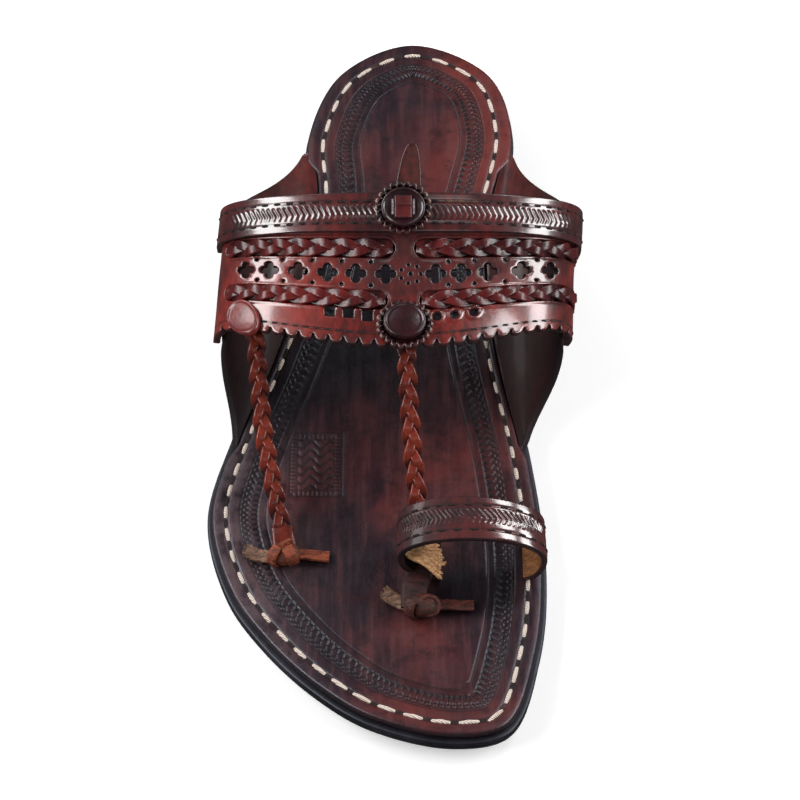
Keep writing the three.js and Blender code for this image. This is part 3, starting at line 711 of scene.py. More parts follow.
def circle(x, y, radius, count):
    angle = np.linspace(0, 2 * math.pi, count, endpoint=False)
    return np.stack([x + radius * np.cos(angle), y + radius * np.sin(angle)], axis=1)


def spaced_points(low, high, spacing):
    """Points on a triangular grid over a rectangle."""
    rows = np.arange(low[1], high[1], spacing * 0.866)
    across = np.arange(low[0], high[0], spacing)
    return np.vstack([
        np.stack([across + (k % 2) * spacing / 2, np.full(len(across), y)], axis=1)
        for k, y in enumerate(rows)
    ])


def triangulated(loops, points):
    """Triangles over points and closed loops, with each input point's index among the new points."""
    coords = np.vstack(loops + [points])
    edges, base = [], 0
    for loop in loops:
        count = len(loop)
        edges += [(base + k, base + (k + 1) % count) for k in range(count)]
        base += count
    made = delaunay_2d_cdt([Vector(c) for c in coords], edges, [], 0, 1e-6, True)
    flat = np.array([tuple(v) for v in made[0]])
    index = np.zeros(len(coords), int)
    for new, olds in enumerate(made[3]):
        for old in olds:
            index[old] = new
    return flat, np.array(made[2]), index


def boundary_loops(triangles):
    """Closed loops of points round a flat sheet of triangles, with the sheet on their left."""
    sides = {tuple(side) for k in range(3) for side in triangles[:, [k, (k + 1) % 3]].tolist()}
    ahead = {}
    for a, b in sorted(sides):
        if (b, a) not in sides:
            ahead.setdefault(a, []).append(b)
    loops = []
    while ahead:
        first = point = min(ahead)
        loop = []
        while not loop or point != first:
            loop.append(point)
            following = ahead[point].pop()
            if not ahead[point]:
                del ahead[point]
            point = following
        loops.append(np.array(loop))
    return loops


def clear_of(points, loops, distance):
    """The points that keep a distance from every loop."""
    kept = np.ones(len(points), bool)
    for loop in loops:
        near = np.linalg.norm(points[:, None, :] - loop[None, :, :], axis=2).min(axis=1)
        kept &= near > distance
    return points[kept]


def rectangle(half, step, centre=(0, 0)):
    """A rectangle of half sizes round a centre, as a closed line."""
    corners = np.array([(-1, -1), (1, -1), (1, 1), (-1, 1)]) * half
    return closed_line(corners + centre, step)


def cut_leather(
    border, place, thick, rounding, spacing,
    holes=(), base=0.0, windows=(), raised=(), tooling=None, relief=None,
):
    """A piece of leather cut to a flat pattern, with holes and rounded edges, laid on a surface.

    Windows are loops inside which the top face is sunk, behind a thin raised rim, and raised is loops
    with a height each. tooling(a, b) says how far the top face is pressed in, as a share of the tool's
    depth, and relief(a, b) raises it.
    """
    border = anticlockwise(border)
    holes = [anticlockwise(h) for h in holes]
    windows = [anticlockwise(w) for w in windows]
    rims = [border] + holes
    ways = [1] + [-1] * len(holes)
    inner = [moved_in(loop, way * rounding) for loop, way in zip(rims, ways)]
    steps = []
    for window in windows:
        steps += [moved_in(window, inset) for inset, level in WINDOW_RIM]
    steps += [loop for loop, level in raised]
    points = spaced_points(border.min(axis=0), border.max(axis=0), spacing)
    points = points[inside(inner[0], points)]
    for hole in inner[1:]:
        points = points[~inside(hole, points)]
    points = clear_of(points, inner + steps, spacing * 0.45)
    flat, triangles, index = triangulated(inner + steps, points)
    centre = flat[triangles].mean(axis=1)
    kept = inside(inner[0], centre)
    for hole in inner[1:]:
        kept &= ~inside(hole, centre)
    triangles = triangles[kept]

    height = np.zeros(len(flat))
    start = sum(len(loop) for loop in inner)
    for window in windows:
        height[inside(moved_in(window, WINDOW_RIM[-1][0] / 2), flat)] = -WINDOW_DEPTH
        for inset, level in WINDOW_RIM:
            height[index[start:start + len(window)]] = level
            start += len(window)
    for loop, level in raised:
        height[index[start:start + len(loop)]] = level
        start += len(loop)
    if relief is not None:
        height += relief(flat[:, 0], flat[:, 1])
    tooled = np.zeros(len(flat)) if tooling is None else tooling(flat[:, 0], flat[:, 1])
    height -= TOOL_DEPTH * tooled

    count = len(flat)
    layers = [np.column_stack([flat, thick + height]), np.column_stack([flat, np.zeros(count)])]
    edge = [np.zeros(count), np.zeros(count)]
    faces = [tuple(t) for t in triangles.tolist()]
    faces += [(a + count, c + count, b + count) for a, b, c in triangles.tolist()]
    base_index = 2 * count
    turned = math.sqrt(0.5)
    section = ((turned, thick - (1 - turned) * rounding), (1, thick - rounding), (1, rounding))
    for top in boundary_loops(triangles):
        size = len(top)
        rings = [top]
        for out, level in section:
            ring = moved_in(flat[top], -out * rounding)
            below_top = thick + height[top] - RING_STEP * len(rings)
            layers.append(np.column_stack([ring, np.minimum(level, below_top)]))
            edge.append(np.ones(size))
            rings.append(np.arange(base_index, base_index + size))
            base_index += size
        rings.append(top + count)
        for upper, lower in zip(rings, rings[1:]):
            faces += ring_faces(upper, lower)
    cut = np.vstack(layers)
    flesh, pressed = np.zeros(len(cut)), np.zeros(len(cut))
    flesh[count:2 * count] = 1
    pressed[:count] = tooled
    faces, cut, edge, flesh, pressed = without_spares(faces, cut, np.concatenate(edge), flesh, pressed)
    placed = place(cut[:, 0], cut[:, 1], cut[:, 2] + base)
    marks = {"edge": edge, "flesh": flesh, "tooled": pressed}
    return placed, facing_out(placed, faces), cut[:, :2], marks


def off_multiple(value, period):
    """Distance to the nearest multiple of a period."""
    return np.abs((value + period / 2) % period - period / 2)


def tooled_rows(width, rows, cut_zones, pitch, lean, fade):
    """Tooling of a strap, by shares of its width: grooves for stitches and slanted cuts between them.

    The cuts lie between the first two of cut_zones, and fainter ones lean the other way up to the third.
    They fade out towards the strap's ends, from the first to the second length of fade.
    """
    low, turn, high = cut_zones

    def tooling(a, b):
        share = b / width(a)
        pressed = sum(0.5 * np.exp(-(((share - row) * width(a) / 0.35) ** 2)) for row in rows)
        for start, end, slant, depth in ((low, turn, lean, 1.0), (turn, high, -lean, 0.5)):
            between = smoothstep(share, start - 0.02, start + 0.03)
            between = between * (1 - smoothstep(share, end - 0.03, end + 0.02))
            off = off_multiple(a - slant * (b - turn * width(a)), pitch) / pitch
            cuts = depth * between * (1 - smoothstep(off, 0.1, 0.3)) * (1 - smoothstep(np.abs(a), *fade))
            pressed = np.maximum(pressed, cuts)
        return pressed

    return tooling


# Wired materials

class Wire:
    """One socket of a finish, so that sums are written as sums."""

    def __init__(self, finish, socket):
        self.finish, self.socket = finish, socket

    def __add__(self, other):
        return self.finish.sum("ADD", self, other)

    __radd__ = __add__

    def __mul__(self, other):
        return self.finish.sum("MULTIPLY", self, other)

    __rmul__ = __mul__

    def __sub__(self, other):
        return self.finish.sum("SUBTRACT", self, other)

    def __rsub__(self, other):
        return self.finish.sum("SUBTRACT", other, self)

    def __truediv__(self, other):
        return self.finish.sum("DIVIDE", self, other)

    def __abs__(self):
        return self.finish.sum("ABSOLUTE", self)

    def sine(self):
        return self.finish.sum("SINE", self)

    def most(self, other):
        return self.finish.sum("MAXIMUM", self, other)

    def ramp(self, low, high):
        """0 below low, 1 above high, and smooth between. low may be the larger."""
        settings = {"interpolation_type": "SMOOTHSTEP"}
        if low < high:
            sockets = {"Value": self, "From Min": low, "From Max": high, "To Min": 0.0, "To Max": 1.0}
        else:
            sockets = {"Value": self, "From Min": high, "From Max": low, "To Min": 1.0, "To Max": 0.0}
        return self.finish.take("ShaderNodeMapRange", settings, sockets)


class Finish:
    """A material while its nodes are wired."""

    def __init__(self, name, **constants):
        self.material = bpy.data.materials.new(name)
        self.material.use_nodes = True
        self.tree = self.material.node_tree
        self.tree.nodes.clear()
        self.shader = self.node("ShaderNodeBsdfPrincipled", {}, constants)
        output = self.tree.nodes.new("ShaderNodeOutputMaterial")
        self.tree.links.new(self.shader.outputs[0], output.inputs[0])

    def node(self, kind, settings=None, sockets=None):
        made = self.tree.nodes.new(kind)
        for key, value in (settings or {}).items():
            setattr(made, key, value)
        for key, value in (sockets or {}).items():
            if isinstance(value, Wire):
                self.tree.links.new(value.socket, made.inputs[key])
            else:
                made.inputs[key].default_value = value
        return made

    def take(self, kind, settings=None, sockets=None, output=0):
        return Wire(self, self.node(kind, settings, sockets).outputs[output])

    def sum(self, operation, *values):
        return self.take("ShaderNodeMath", {"operation": operation}, dict(enumerate(values)))

    def tint(self, factor, a, b, kind="MIX"):
        settings = {"data_type": "RGBA", "blend_type": kind, "clamp_factor": True}
        return self.take("ShaderNodeMix", settings, {0: factor, 6: a, 7: b}, 2)

    def place(self):
        return self.take("ShaderNodeTexCoord", {}, {}, "Object")

    def parts(self, vector):
        split = self.node("ShaderNodeSeparateXYZ", {}, {0: vector})
        return tuple(Wire(self, split.outputs[k]) for k in range(3))

    def pattern(self):
        """The piece's cut pattern in millimetres."""
        return self.parts(self.take("ShaderNodeUVMap", {"uv_map": "cut"}))[:2]

    def mark(self, name):
        return self.take("ShaderNodeAttribute", {"attribute_name": name}, {}, "Fac")

    def stretched(self, vector, scale):
        return self.take("ShaderNodeMapping", {}, {"Vector": vector, "Scale": scale})

    def noise(self, vector, scale, detail=3.0, rough=0.55, warp=0.0):
        sockets = {
            "Vector": vector, "Scale": scale, "Detail": detail, "Roughness": rough, "Distortion": warp,
        }
        return self.take("ShaderNodeTexNoise", {}, sockets)

    def cells(self, vector, scale, feature="F1"):
        sockets = {"Vector": vector, "Scale": scale}
        return self.take("ShaderNodeTexVoronoi", {"feature": feature}, sockets)

    def finish(self, colour, roughness, height, depth, coat=None):
        """Joins the colour, gloss and relief, of a depth in millimetres, to the shader."""
        sockets = {"Strength": 1.0, "Distance": depth * MM, "Height": height}
        bump = self.take("ShaderNodeBump", {}, sockets)
        for socket, wire in (("Base Color", colour), ("Roughness", roughness), ("Normal", bump)):
            self.tree.links.new(wire.socket, self.shader.inputs[socket])
        if coat is not None:
            self.tree.links.new(coat.socket, self.shader.inputs["Coat Weight"])
        return self.material


def colour(red, green, blue):
    """A colour given as it looks, from 0 to 255, as light."""
    values = []
    for value in (red, green, blue):
        v = value / 255
        values.append(v / 12.92 if v <= 0.04045 else ((v + 0.055) / 1.055) ** 2.4)
    return (*values, 1.0)


def groove(wire, at, half):
    """1 along a line at a value of the wire, falling to 0 a half width away."""
    return abs(wire - at).ramp(half, half * 0.25)


def leather_grain(f, where, pebble=900.0):
    """Height of a fine polished grain, with pores and shallow wrinkles."""
    cells = f.cells(where, pebble, "SMOOTH_F1")
    fine = f.noise(where, pebble * 2.6, 2.0)
    wrinkles = f.noise(f.stretched(where, (1.0, 2.2, 1.0)), 120.0, 4.0, 0.6, 0.6)
    return cells * 0.35 + fine * 0.3 + wrinkles * 0.5


def dyed_leather(f, where, dark, light, low=0.35, high=0.7):
    """Uneven dye: broad patches, streaks and specks."""
    broad = f.noise(where, 28.0, 4.0, 0.6, 0.4)
    streaks = f.noise(f.stretched(where, (60.0, 22.0, 40.0)), 9.0, 3.0, 0.6)
    amount = (broad * 0.65 + streaks * 0.35).ramp(low, high)
    return f.tint(amount, dark, light)


BLACK_EDGE = colour(28, 21, 26)
# Near black of painted shade
PAINTED_SHADE_BLACK = colour(20, 15, 20)
COOL_SHEEN = (0.8, 0.86, 1.0, 1.0)
OXBLOOD_DARK = colour(58, 16, 18)
OXBLOOD_LIGHT = colour(148, 43, 32)
FLESH_DARK = colour(120, 70, 40)
FLESH_LIGHT = colour(196, 138, 84)
FLESH_STAIN = colour(70, 40, 30)
# Dark of painted shade on a pale inner side
FLESH_PAINTED_SHADE = colour(34, 18, 18)
INSOLE_DARK = colour(39, 25, 31)
INSOLE_RED = colour(112, 48, 42)
INSOLE_STREAK = colour(96, 48, 46)
INSOLE_MOTTLE = colour(18, 11, 17)
# Near black of the painted shadow below the band
INSOLE_PAINTED_SHADOW = colour(5, 5, 13)
# Near black of the painted shadow round the toe loop
LOOP_PAINTED_SHADOW = colour(7, 6, 12)
# Pale grey of a painted sheen
INSOLE_PAINTED_SHEEN = colour(124, 106, 110)
BORDER_DARK = colour(16, 10, 13)
TOOLED_DARK = colour(11, 7, 9)
# Colours of painted shade in folds
FOLD_PAINTED_SHADE = colour(24, 10, 12)
RAW_FOLD_PAINTED_SHADE = colour(50, 22, 14)
THREAD_DIRT = colour(150, 110, 90)


def flesh_side(f, where):
    """Raw inner side of leather: pale, matt and fibrous."""
    fibres = f.noise(f.stretched(where, (300.0, 900.0, 600.0)), 1.6, 4.0, 0.65, 1.2)
    return f.tint(fibres.ramp(0.3, 0.7), FLESH_DARK, FLESH_LIGHT), fibres


def cut_edges(f, shade, edge=BLACK_EDGE):
    """A cut edge: burnished dark, or worn light and carrying a painted glint."""
    return f.tint(f.mark("edge") * 0.75, shade, edge)


def oxblood_leather(
    name, pattern=None, flesh=True, dark=OXBLOOD_DARK, light=OXBLOOD_LIGHT, edge=BLACK_EDGE,
    polish=0.8, wear_and_painted_light=None, gloss=1.7, sheen=0.5, painted_shade=0.7,
):
    """Polished red-brown leather. pattern(a, b) gives dark lines and relief of its tooling, and may add
    painted shade.

    An optional function of (f, where) gives, from 0 to 1, how far the polish is lost and painted shade
    darkens the leather there; a share says how far that painted shade darkens the face, and the pale
    inner side is darkened fully.
    """
    f = Finish(name, **{
        "Coat Roughness": 0.15, "Coat IOR": gloss, "IOR": 1.5, "Specular IOR Level": sheen,
    })
    where = f.place()
    shade = dyed_leather(f, where, dark, light)
    grain = leather_grain(f, where)
    height = grain * 0.12
    rough = 0.33 + (f.noise(where, 160.0, 3.0) - 0.5) * 0.18
    coat = polish * (0.75 + f.noise(where, 45.0) * 0.5)
    edges = f.mark("edge")
    coat = coat * (1 - edges * 0.6)
    rough = rough + edges * 0.2
    lines = f.mark("tooled") * 0.85
    if pattern is not None:
        drawn, relief = pattern(*f.pattern())
        lines = lines.most(drawn)
        height = height + relief
    shade = f.tint(lines, shade, BLACK_EDGE)
    rough = rough + lines * 0.2
    shade = cut_edges(f, shade, edge)
    if wear_and_painted_light is not None:
        wear_and_shade = wear_and_painted_light(f, where)
        coat = coat * (1 - wear_and_shade * 0.9)
        rough = rough + wear_and_shade * 0.28
        # Painted shade: the face darkens towards near black where it is given.
        shade = f.tint(wear_and_shade * painted_shade, shade, PAINTED_SHADE_BLACK)
    if flesh:
        raw, fibres = flesh_side(f, where)
        inner = f.mark("flesh").ramp(0.4, 0.6)
        stained = f.tint(0.35, raw, FLESH_STAIN)
        if wear_and_painted_light is not None:
            # Painted shade darkens the pale inner side there too.
            stained = f.tint(wear_and_shade, stained, FLESH_PAINTED_SHADE)
        shade = f.tint(inner, shade, stained)
        rough = rough + inner * 0.45
        coat = coat * (1 - inner)
        height = height + inner * fibres * 0.25
    return f.finish(shade, rough, height, 1.0, coat)


def band_tooling_and_shade(a, b):
    """A groove for stitches before the pinked edge, and painted shade round the middle of the openwork.
    """
    front = groove(b, BAND_LENGTH * STITCH_RUN, 0.55)
    # Painted shade: the middle of the openwork is darkened.
    middle = abs(a).ramp(34.0, 8.0) * abs(b - BAND_LENGTH * 0.45).ramp(17.0, 6.0)
    return (front * 0.45).most(middle * 0.45), 0 - front * 0.35


def loop_dull_and_shaded(f, where):
    """The toe loop's left side has lost its polish, and carries painted shade on its face and its pale
    inner side.
    """
    x = f.parts(where)[0]
    return (x / MM).ramp(30.0, 17.0)


def ear_dull_and_shaded(f, where):
    """The ears are dull, and darkened with painted shade, from below the band to their front ends."""
    y = f.parts(where)[1]
    return (y / MM).ramp(48.0, 22.0)


def insole_leather():
    """Dark tooled leather: a stitched channel, a stamped border all round and red patches.

    It carries a painted shadow below the band and the toe loop, and a painted sheen at the little toe's
    side.
    """
    f = Finish("tooled_insole_leather", **{
        "Coat Roughness": 0.3, "IOR": 1.5, "Specular Tint": COOL_SHEEN,
    })
    where = f.place()
    inset = f.pattern()[1]
    x, y = f.parts(where)[:2]
    patches = f.noise(where, 20.0, 5.0, 0.62, 0.5)
    heel_red = (x / MM).ramp(-5.0, 28.0) * (y / MM).ramp(40.0, 90.0)
    toe_red = (y / MM).ramp(-70.0, -118.0)
    redness = (patches + heel_red * 0.26 + toe_red * 0.03).ramp(0.42, 0.84)
    shade = f.tint(redness, INSOLE_DARK, INSOLE_RED)
    streaks = f.noise(f.stretched(where, (420.0, 40.0, 100.0)), 1.0, 4.0, 0.6)
    shade = f.tint(streaks.ramp(0.42, 0.72) * 0.4, shade, INSOLE_STREAK)
    mottle = f.noise(where, 140.0, 4.0, 0.7)
    shade = f.tint(mottle.ramp(0.52, 0.3) * 0.55, shade, INSOLE_MOTTLE)
    # Painted shadow: darker below the band, reaching further forward on the little toe's side.
    painted_band_shadow = ((y - x * 0.6) / MM).ramp(-22.0, 14.0) * (y / MM).ramp(80.0, 44.0)
    shade = f.tint(painted_band_shadow * 0.88, shade, INSOLE_PAINTED_SHADOW)
    # Painted shadow: a dark patch on the insole round the toe loop.
    ahead = (y / MM + 84.0) / 11.0
    beside = (x / MM - 24.0) / 17.0
    painted_loop_shadow = (ahead * ahead + beside * beside).ramp(1.1, 0.15)
    shade = f.tint(painted_loop_shadow * 0.75, shade, LOOP_PAINTED_SHADOW)
    # Painted sheen: a pale grey tint on the little toe's side of the forefoot stands in for the light's
    # reflection.
    painted_sheen = ((0 - x) / MM).ramp(20.0, 46.0) * (y / MM).ramp(-5.0, -40.0) * mottle.ramp(0.3, 0.6)
    shade = f.tint(painted_sheen * 0.3, shade, INSOLE_PAINTED_SHEEN)
    channel = groove(inset, STITCH_LINE, 1.2)
    border = inset.ramp(9.7, 10.5) * inset.ramp(18.6, 17.6)
    shade = f.tint(border * 0.35, shade, BORDER_DARK)
    dark = f.mark("tooled").most(channel * 0.75)
    shade = f.tint(dark * 0.88, shade, TOOLED_DARK)
    shade = cut_edges(f, shade)
    height = leather_grain(f, where, 700.0) * 0.22 - channel * 0.2
    rough = 0.39 + (f.noise(where, 120.0) - 0.5) * 0.3 + (streaks - 0.5) * 0.4 + dark * 0.1
    coat = 0.12 + f.noise(where, 30.0) * 0.14
    return f.finish(shade, rough, height, 1.0, coat)


def sole_edge_leather(name, dark, light):
    """Blackened sole leather with the layers of its cut edge."""
    f = Finish(name, **{"Coat Roughness": 0.35, "IOR": 1.5, "Specular Tint": COOL_SHEEN})
    where = f.place()
    layers = f.noise(f.stretched(where, (40.0, 40.0, 2200.0)), 1.0, 3.0, 0.6)
    shade = f.tint(f.noise(where, 60.0, 4.0).ramp(0.35, 0.7), dark, light)
    shade = f.tint(layers.ramp(0.5, 0.8) * 0.4, shade, light)
    height = layers * 0.12 + leather_grain(f, where, 500.0) * 0.2
    rough = 0.5 + (f.noise(where, 200.0) - 0.5) * 0.2
    return f.finish(shade, rough, height, 1.0, 0.1 + f.noise(where, 40.0) * 0.1)


def plait_leather(name, dark, light):
    """Narrow polished strips, with painted shade in the folds."""
    f = Finish(name, **{"Coat Roughness": 0.12, "IOR": 1.42})
    where = f.place()
    shade = dyed_leather(f, where, dark, light)
    shade = f.tint(f.mark("fold") * 0.85, shade, FOLD_PAINTED_SHADE)
    height = leather_grain(f, where, 1200.0) * 0.1
    rough = 0.27 + (f.noise(where, 300.0) - 0.5) * 0.2
    return f.finish(shade, rough, height, 1.0, 0.08 + f.noise(where, 50.0) * 0.1)


def raw_leather(name, dark, light):
    """Undyed tan leather, matt and fibrous."""
    f = Finish(name, **{"IOR": 1.45})
    where = f.place()
    fibres = f.noise(f.stretched(where, (260.0, 700.0, 700.0)), 1.5, 5.0, 0.65, 0.8)
    shade = f.tint(fibres.ramp(0.3, 0.72), dark, light)
    # Painted shade darkens it where a fold mark is given.
    shade = f.tint(f.mark("fold") * 0.8, shade, RAW_FOLD_PAINTED_SHADE)
    rough = 0.62 + (fibres - 0.5) * 0.3
    return f.finish(shade, rough, fibres, 0.35)


def thread(name, dark, light):
    """Twisted thread."""
    f = Finish(name, **{"IOR": 1.45})
    where = f.place()
    x, y = f.parts(where)[:2]
    twist = ((x + y * 1.7) * 5200.0).sine()
    shade = f.tint(twist.ramp(-0.9, 0.6), dark, light)
    dirt = f.noise(where, 90.0, 4.0)
    shade = f.tint(dirt.ramp(0.55, 0.8) * 0.5, shade, THREAD_DIRT)
    rough = 0.75 + dirt * 0.1
    return f.finish(shade, rough, twist, 0.08)


# Repeats made with geometry nodes

def node_tree(name, inputs):
    """An empty geometry tree with a geometry input and named inputs."""
    tree = bpy.data.node_groups.new(name, "GeometryNodeTree")
    tree.interface.new_socket("Geometry", in_out="INPUT", socket_type="NodeSocketGeometry")
    for label, kind in inputs:
        tree.interface.new_socket(label, in_out="INPUT", socket_type=kind)
    tree.interface.new_socket("Geometry", in_out="OUTPUT", socket_type="NodeSocketGeometry")
    return tree


class Bench:
    """Adds nodes to a geometry tree: sockets may be values or other nodes' outputs."""

    def __init__(self, tree):
        self.tree = tree

    def add(self, kind, settings=None, sockets=None):
        made = self.tree.nodes.new(kind)
        for key, value in (settings or {}).items():
            setattr(made, key, value)
        for key, value in (sockets or {}).items():
            if isinstance(value, bpy.types.NodeSocket):
                self.tree.links.new(value, made.inputs[key])
            else:
                made.inputs[key].default_value = value
        return made

    def maths(self, operation, *values):
        return self.add("ShaderNodeMath", {"operation": operation}, dict(enumerate(values))).outputs[0]

    def direction(self, name):
        """A vector kept on the guide's points."""
        settings = {"data_type": "FLOAT_VECTOR"}
        return self.add("GeometryNodeInputNamedAttribute", settings, {"Name": name}).outputs[0]


def stitch_tree():
    """Stitches on points: each a round-ended bar along the row, its ends dipping into the leather."""
    tree = node_tree("stitch_row", [
        ("Length", "NodeSocketFloat"), ("Width", "NodeSocketFloat"), ("Height", "NodeSocketFloat"),
        ("Dip", "NodeSocketFloat"), ("Material", "NodeSocketMaterial"),
    ])
    bench = Bench(tree)
    given = bench.add("NodeGroupInput").outputs
    ball = bench.add("GeometryNodeMeshUVSphere", {}, {"Segments": 12, "Rings": 6, "Radius": 1.0})
    at = bench.add("GeometryNodeInputPosition").outputs[0]
    split = bench.add("ShaderNodeSeparateXYZ", {}, {0: at}).outputs
    half_width = bench.maths("MULTIPLY", given["Width"], 0.5)
    half_height = bench.maths("MULTIPLY", given["Height"], 0.5)
    straight = bench.maths("SUBTRACT", bench.maths("MULTIPLY", given["Length"], 0.5), half_width)
    steep = bench.maths("MULTIPLY", split[0], 4.0)
    end = bench.add("ShaderNodeClamp", {}, {0: steep, 1: -1.0, 2: 1.0}).outputs[0]
    out = bench.maths("MULTIPLY", end, straight)
    x = bench.maths("ADD", out, bench.maths("MULTIPLY", split[0], half_width))
    y = bench.maths("MULTIPLY", split[1], half_width)
    drop = bench.maths("MULTIPLY", bench.maths("MULTIPLY", end, end), given["Dip"])
    z = bench.maths("SUBTRACT", bench.maths("MULTIPLY", split[2], half_height), drop)
    place = bench.add("ShaderNodeCombineXYZ", {}, {0: x, 1: y, 2: z}).outputs[0]
    bar = bench.add("GeometryNodeSetPosition", {}, {0: ball.outputs[0], "Position": place}).outputs[0]
    turn = bench.add(
        "FunctionNodeAxesToRotation", {"primary_axis": "Z", "secondary_axis": "X"},
        {0: bench.direction("up"), 1: bench.direction("along")},
    ).outputs[0]
    row = bench.add("GeometryNodeInstanceOnPoints", {}, {
        "Points": given["Geometry"], "Instance": bar,
        "Rotation": turn, "Scale": bench.direction("scale"),
    }).outputs[0]
    real = bench.add("GeometryNodeRealizeInstances", {}, {0: row}).outputs[0]
    smooth = bench.add("GeometryNodeSetShadeSmooth", {}, {0: real}).outputs[0]
    dressed = {0: smooth, "Material": given["Material"]}
    bench.add("NodeGroupOutput", {}, {0: bench.add("GeometryNodeSetMaterial", {}, dressed).outputs[0]})
    return tree


def strip_tree():
    """Flat strips swept along edge chains, each lying on its own up direction."""
    tree = node_tree("plaited_strips", [
        ("Width", "NodeSocketFloat"), ("Thickness", "NodeSocketFloat"),
        ("Material", "NodeSocketMaterial"),
    ])
    bench = Bench(tree)
    given = bench.add("NodeGroupInput").outputs
    chain = bench.add("GeometryNodeMeshToCurve", {}, {0: given["Geometry"]}).outputs[0]
    normal = {0: chain, "Normal": bench.direction("up")}
    laid = bench.add("GeometryNodeSetCurveNormal", {"mode": "FREE"}, normal).outputs[0]
    flat = bench.add(
        "GeometryNodeCurvePrimitiveQuadrilateral", {"mode": "RECTANGLE"},
        {"Width": given["Thickness"], "Height": given["Width"]},
    ).outputs[0]
    corner = bench.maths("MULTIPLY", given["Thickness"], 0.42)
    section = bench.add(
        "GeometryNodeFilletCurve", {"mode": "POLY"}, {"Curve": flat, "Count": 3, "Radius": corner},
    ).outputs[0]
    swept = bench.add("GeometryNodeCurveToMesh", {}, {0: laid, 1: section, "Fill Caps": True}).outputs[0]
    smooth = bench.add("GeometryNodeSetShadeSmooth", {}, {0: swept}).outputs[0]
    real = bench.add("GeometryNodeRealizeInstances", {}, {0: smooth}).outputs[0]
    dressed = {0: real, "Material": given["Material"]}
    bench.add("NodeGroupOutput", {}, {0: bench.add("GeometryNodeSetMaterial", {}, dressed).outputs[0]})
    return tree


STITCH_TREE = stitch_tree()
STRIP_TREE = strip_tree()


def grown(name, tree, guide, values):
    """Runs a geometry tree on a guide mesh and returns the result as a plain mesh."""
    carrier = bpy.data.objects.new(name, guide)
    bpy.context.scene.collection.objects.link(carrier)
    modifier = carrier.modifiers.new(name, "NODES")
    modifier.node_group = tree
    for item in tree.interface.items_tree:
        if item.in_out == "INPUT" and item.name in values:
            modifier[item.identifier] = values[item.name]
    graph = bpy.context.evaluated_depsgraph_get()
    mesh = bpy.data.meshes.new_from_object(carrier.evaluated_get(graph), depsgraph=graph)
    bpy.data.objects.remove(carrier)
    bpy.data.meshes.remove(guide)
    mesh.name = name
    return mesh


def guide_mesh(name, points, vectors, edges=(), fold_shades=None):
    """Points in metres with named directions, to grow a row of stitches or a strip on."""
    mesh = bpy.data.meshes.new(name)
    mesh.from_pydata((np.asarray(points) * MM).tolist(), list(edges), [])
    for label, values in vectors.items():
        mark = mesh.attributes.new(label, "FLOAT_VECTOR", "POINT")
        mark.data.foreach_set("vector", np.asarray(values, float).ravel())
    # Painted shade for the folds, carried to the strips' faces.
    if fold_shades is not None:
        mesh.attributes.new("fold", "FLOAT", "POINT").data.foreach_set("value", fold_shades)
    return mesh


def stitch_rows(name, rows, size, material, stretch=1.0):
    """Stitches on rows of (points, along, up), of a size (length, width, height, dip) in millimetres.

    stretch lengthens them all, or each by its own share.
    """
    points, along, up = (np.vstack([row[k] for row in rows]) for k in range(3))
    scale = np.ones((len(points), 3))
    scale[:, 0] = stretch
    values = {label: v * MM for label, v in zip(("Length", "Width", "Height", "Dip"), size)}
    values["Material"] = material
    guide = guide_mesh(name, points, {"along": along, "up": up, "scale": scale})
    return grown(name, STITCH_TREE, guide, values)


def strips(name, lines, width, thick, material):
    """Flat strips along lines of (points, ups, shade), as one plain mesh. The shade is painted, 1 deep
    in a fold.
    """
    points, ups, fold_shades, edges, base = [], [], [], [], 0
    for line, up, fold in lines:
        points.append(line)
        ups.append(up)
        fold_shades.append(np.broadcast_to(fold, len(line)))
        edges += [(base + k, base + k + 1) for k in range(len(line) - 1)]
        base += len(line)
    guide = guide_mesh(name, np.vstack(points), {"up": np.vstack(ups)}, edges, np.concatenate(fold_shades))
    values = {"Width": width * MM, "Thickness": thick * MM, "Material": material}
    return grown(name, STRIP_TREE, guide, values)


# Finishes

band_finish = oxblood_leather("band_oxblood_leather", band_tooling_and_shade)
strip_finish = oxblood_leather(
    "strip_oxblood_leather", dark=colour(38, 11, 16), light=colour(116, 34, 32), polish=1.0, gloss=1.8,
)
# Painted shade darkens the loop's left side, a little on the face and fully on the pale inner side.
loop_finish = oxblood_leather(
    "loop_oxblood_leather", dark=colour(40, 15, 19), light=colour(98, 33, 32), polish=1.0,
    wear_and_painted_light=loop_dull_and_shaded, gloss=1.95, sheen=0.3, painted_shade=0.2,
)
disc_finish = oxblood_leather(
    "disc_oxblood_leather", flesh=False, dark=colour(24, 7, 14), light=colour(62, 16, 25), polish=0.34,
)
# The washer's pale edge colour is a painted glint on its teeth.
washer_finish = oxblood_leather(
    "washer_oxblood_leather", flesh=False, dark=colour(30, 9, 15), light=colour(76, 22, 27),
    edge=colour(186, 140, 118), polish=0.45,
)
tab_finish = oxblood_leather(
    "tab_oxblood_leather", dark=colour(42, 11, 10), light=colour(106, 32, 20), polish=0.05,
)
shoulder_finish = oxblood_leather(
    "shoulder_disc_leather", flesh=False, dark=colour(78, 24, 26), light=colour(138, 48, 44), polish=0.3,
)
strap_finish = oxblood_leather(
    "strap_red_leather", dark=colour(66, 18, 20), light=colour(116, 36, 36), polish=0.1,
)
# Painted shade darkens the ears from below the band to their front ends.
ear_finish = oxblood_leather(
    "ear_brown_leather", flesh=False, dark=colour(44, 20, 22), light=colour(98, 40, 36), polish=0.25,
    wear_and_painted_light=ear_dull_and_shaded, sheen=0.3,
)
plait_finish = plait_leather("plait_red_leather", colour(48, 15, 19), colour(112, 36, 34))
thong_finish = plait_leather("thong_red_leather", colour(66, 24, 20), colour(140, 54, 38))
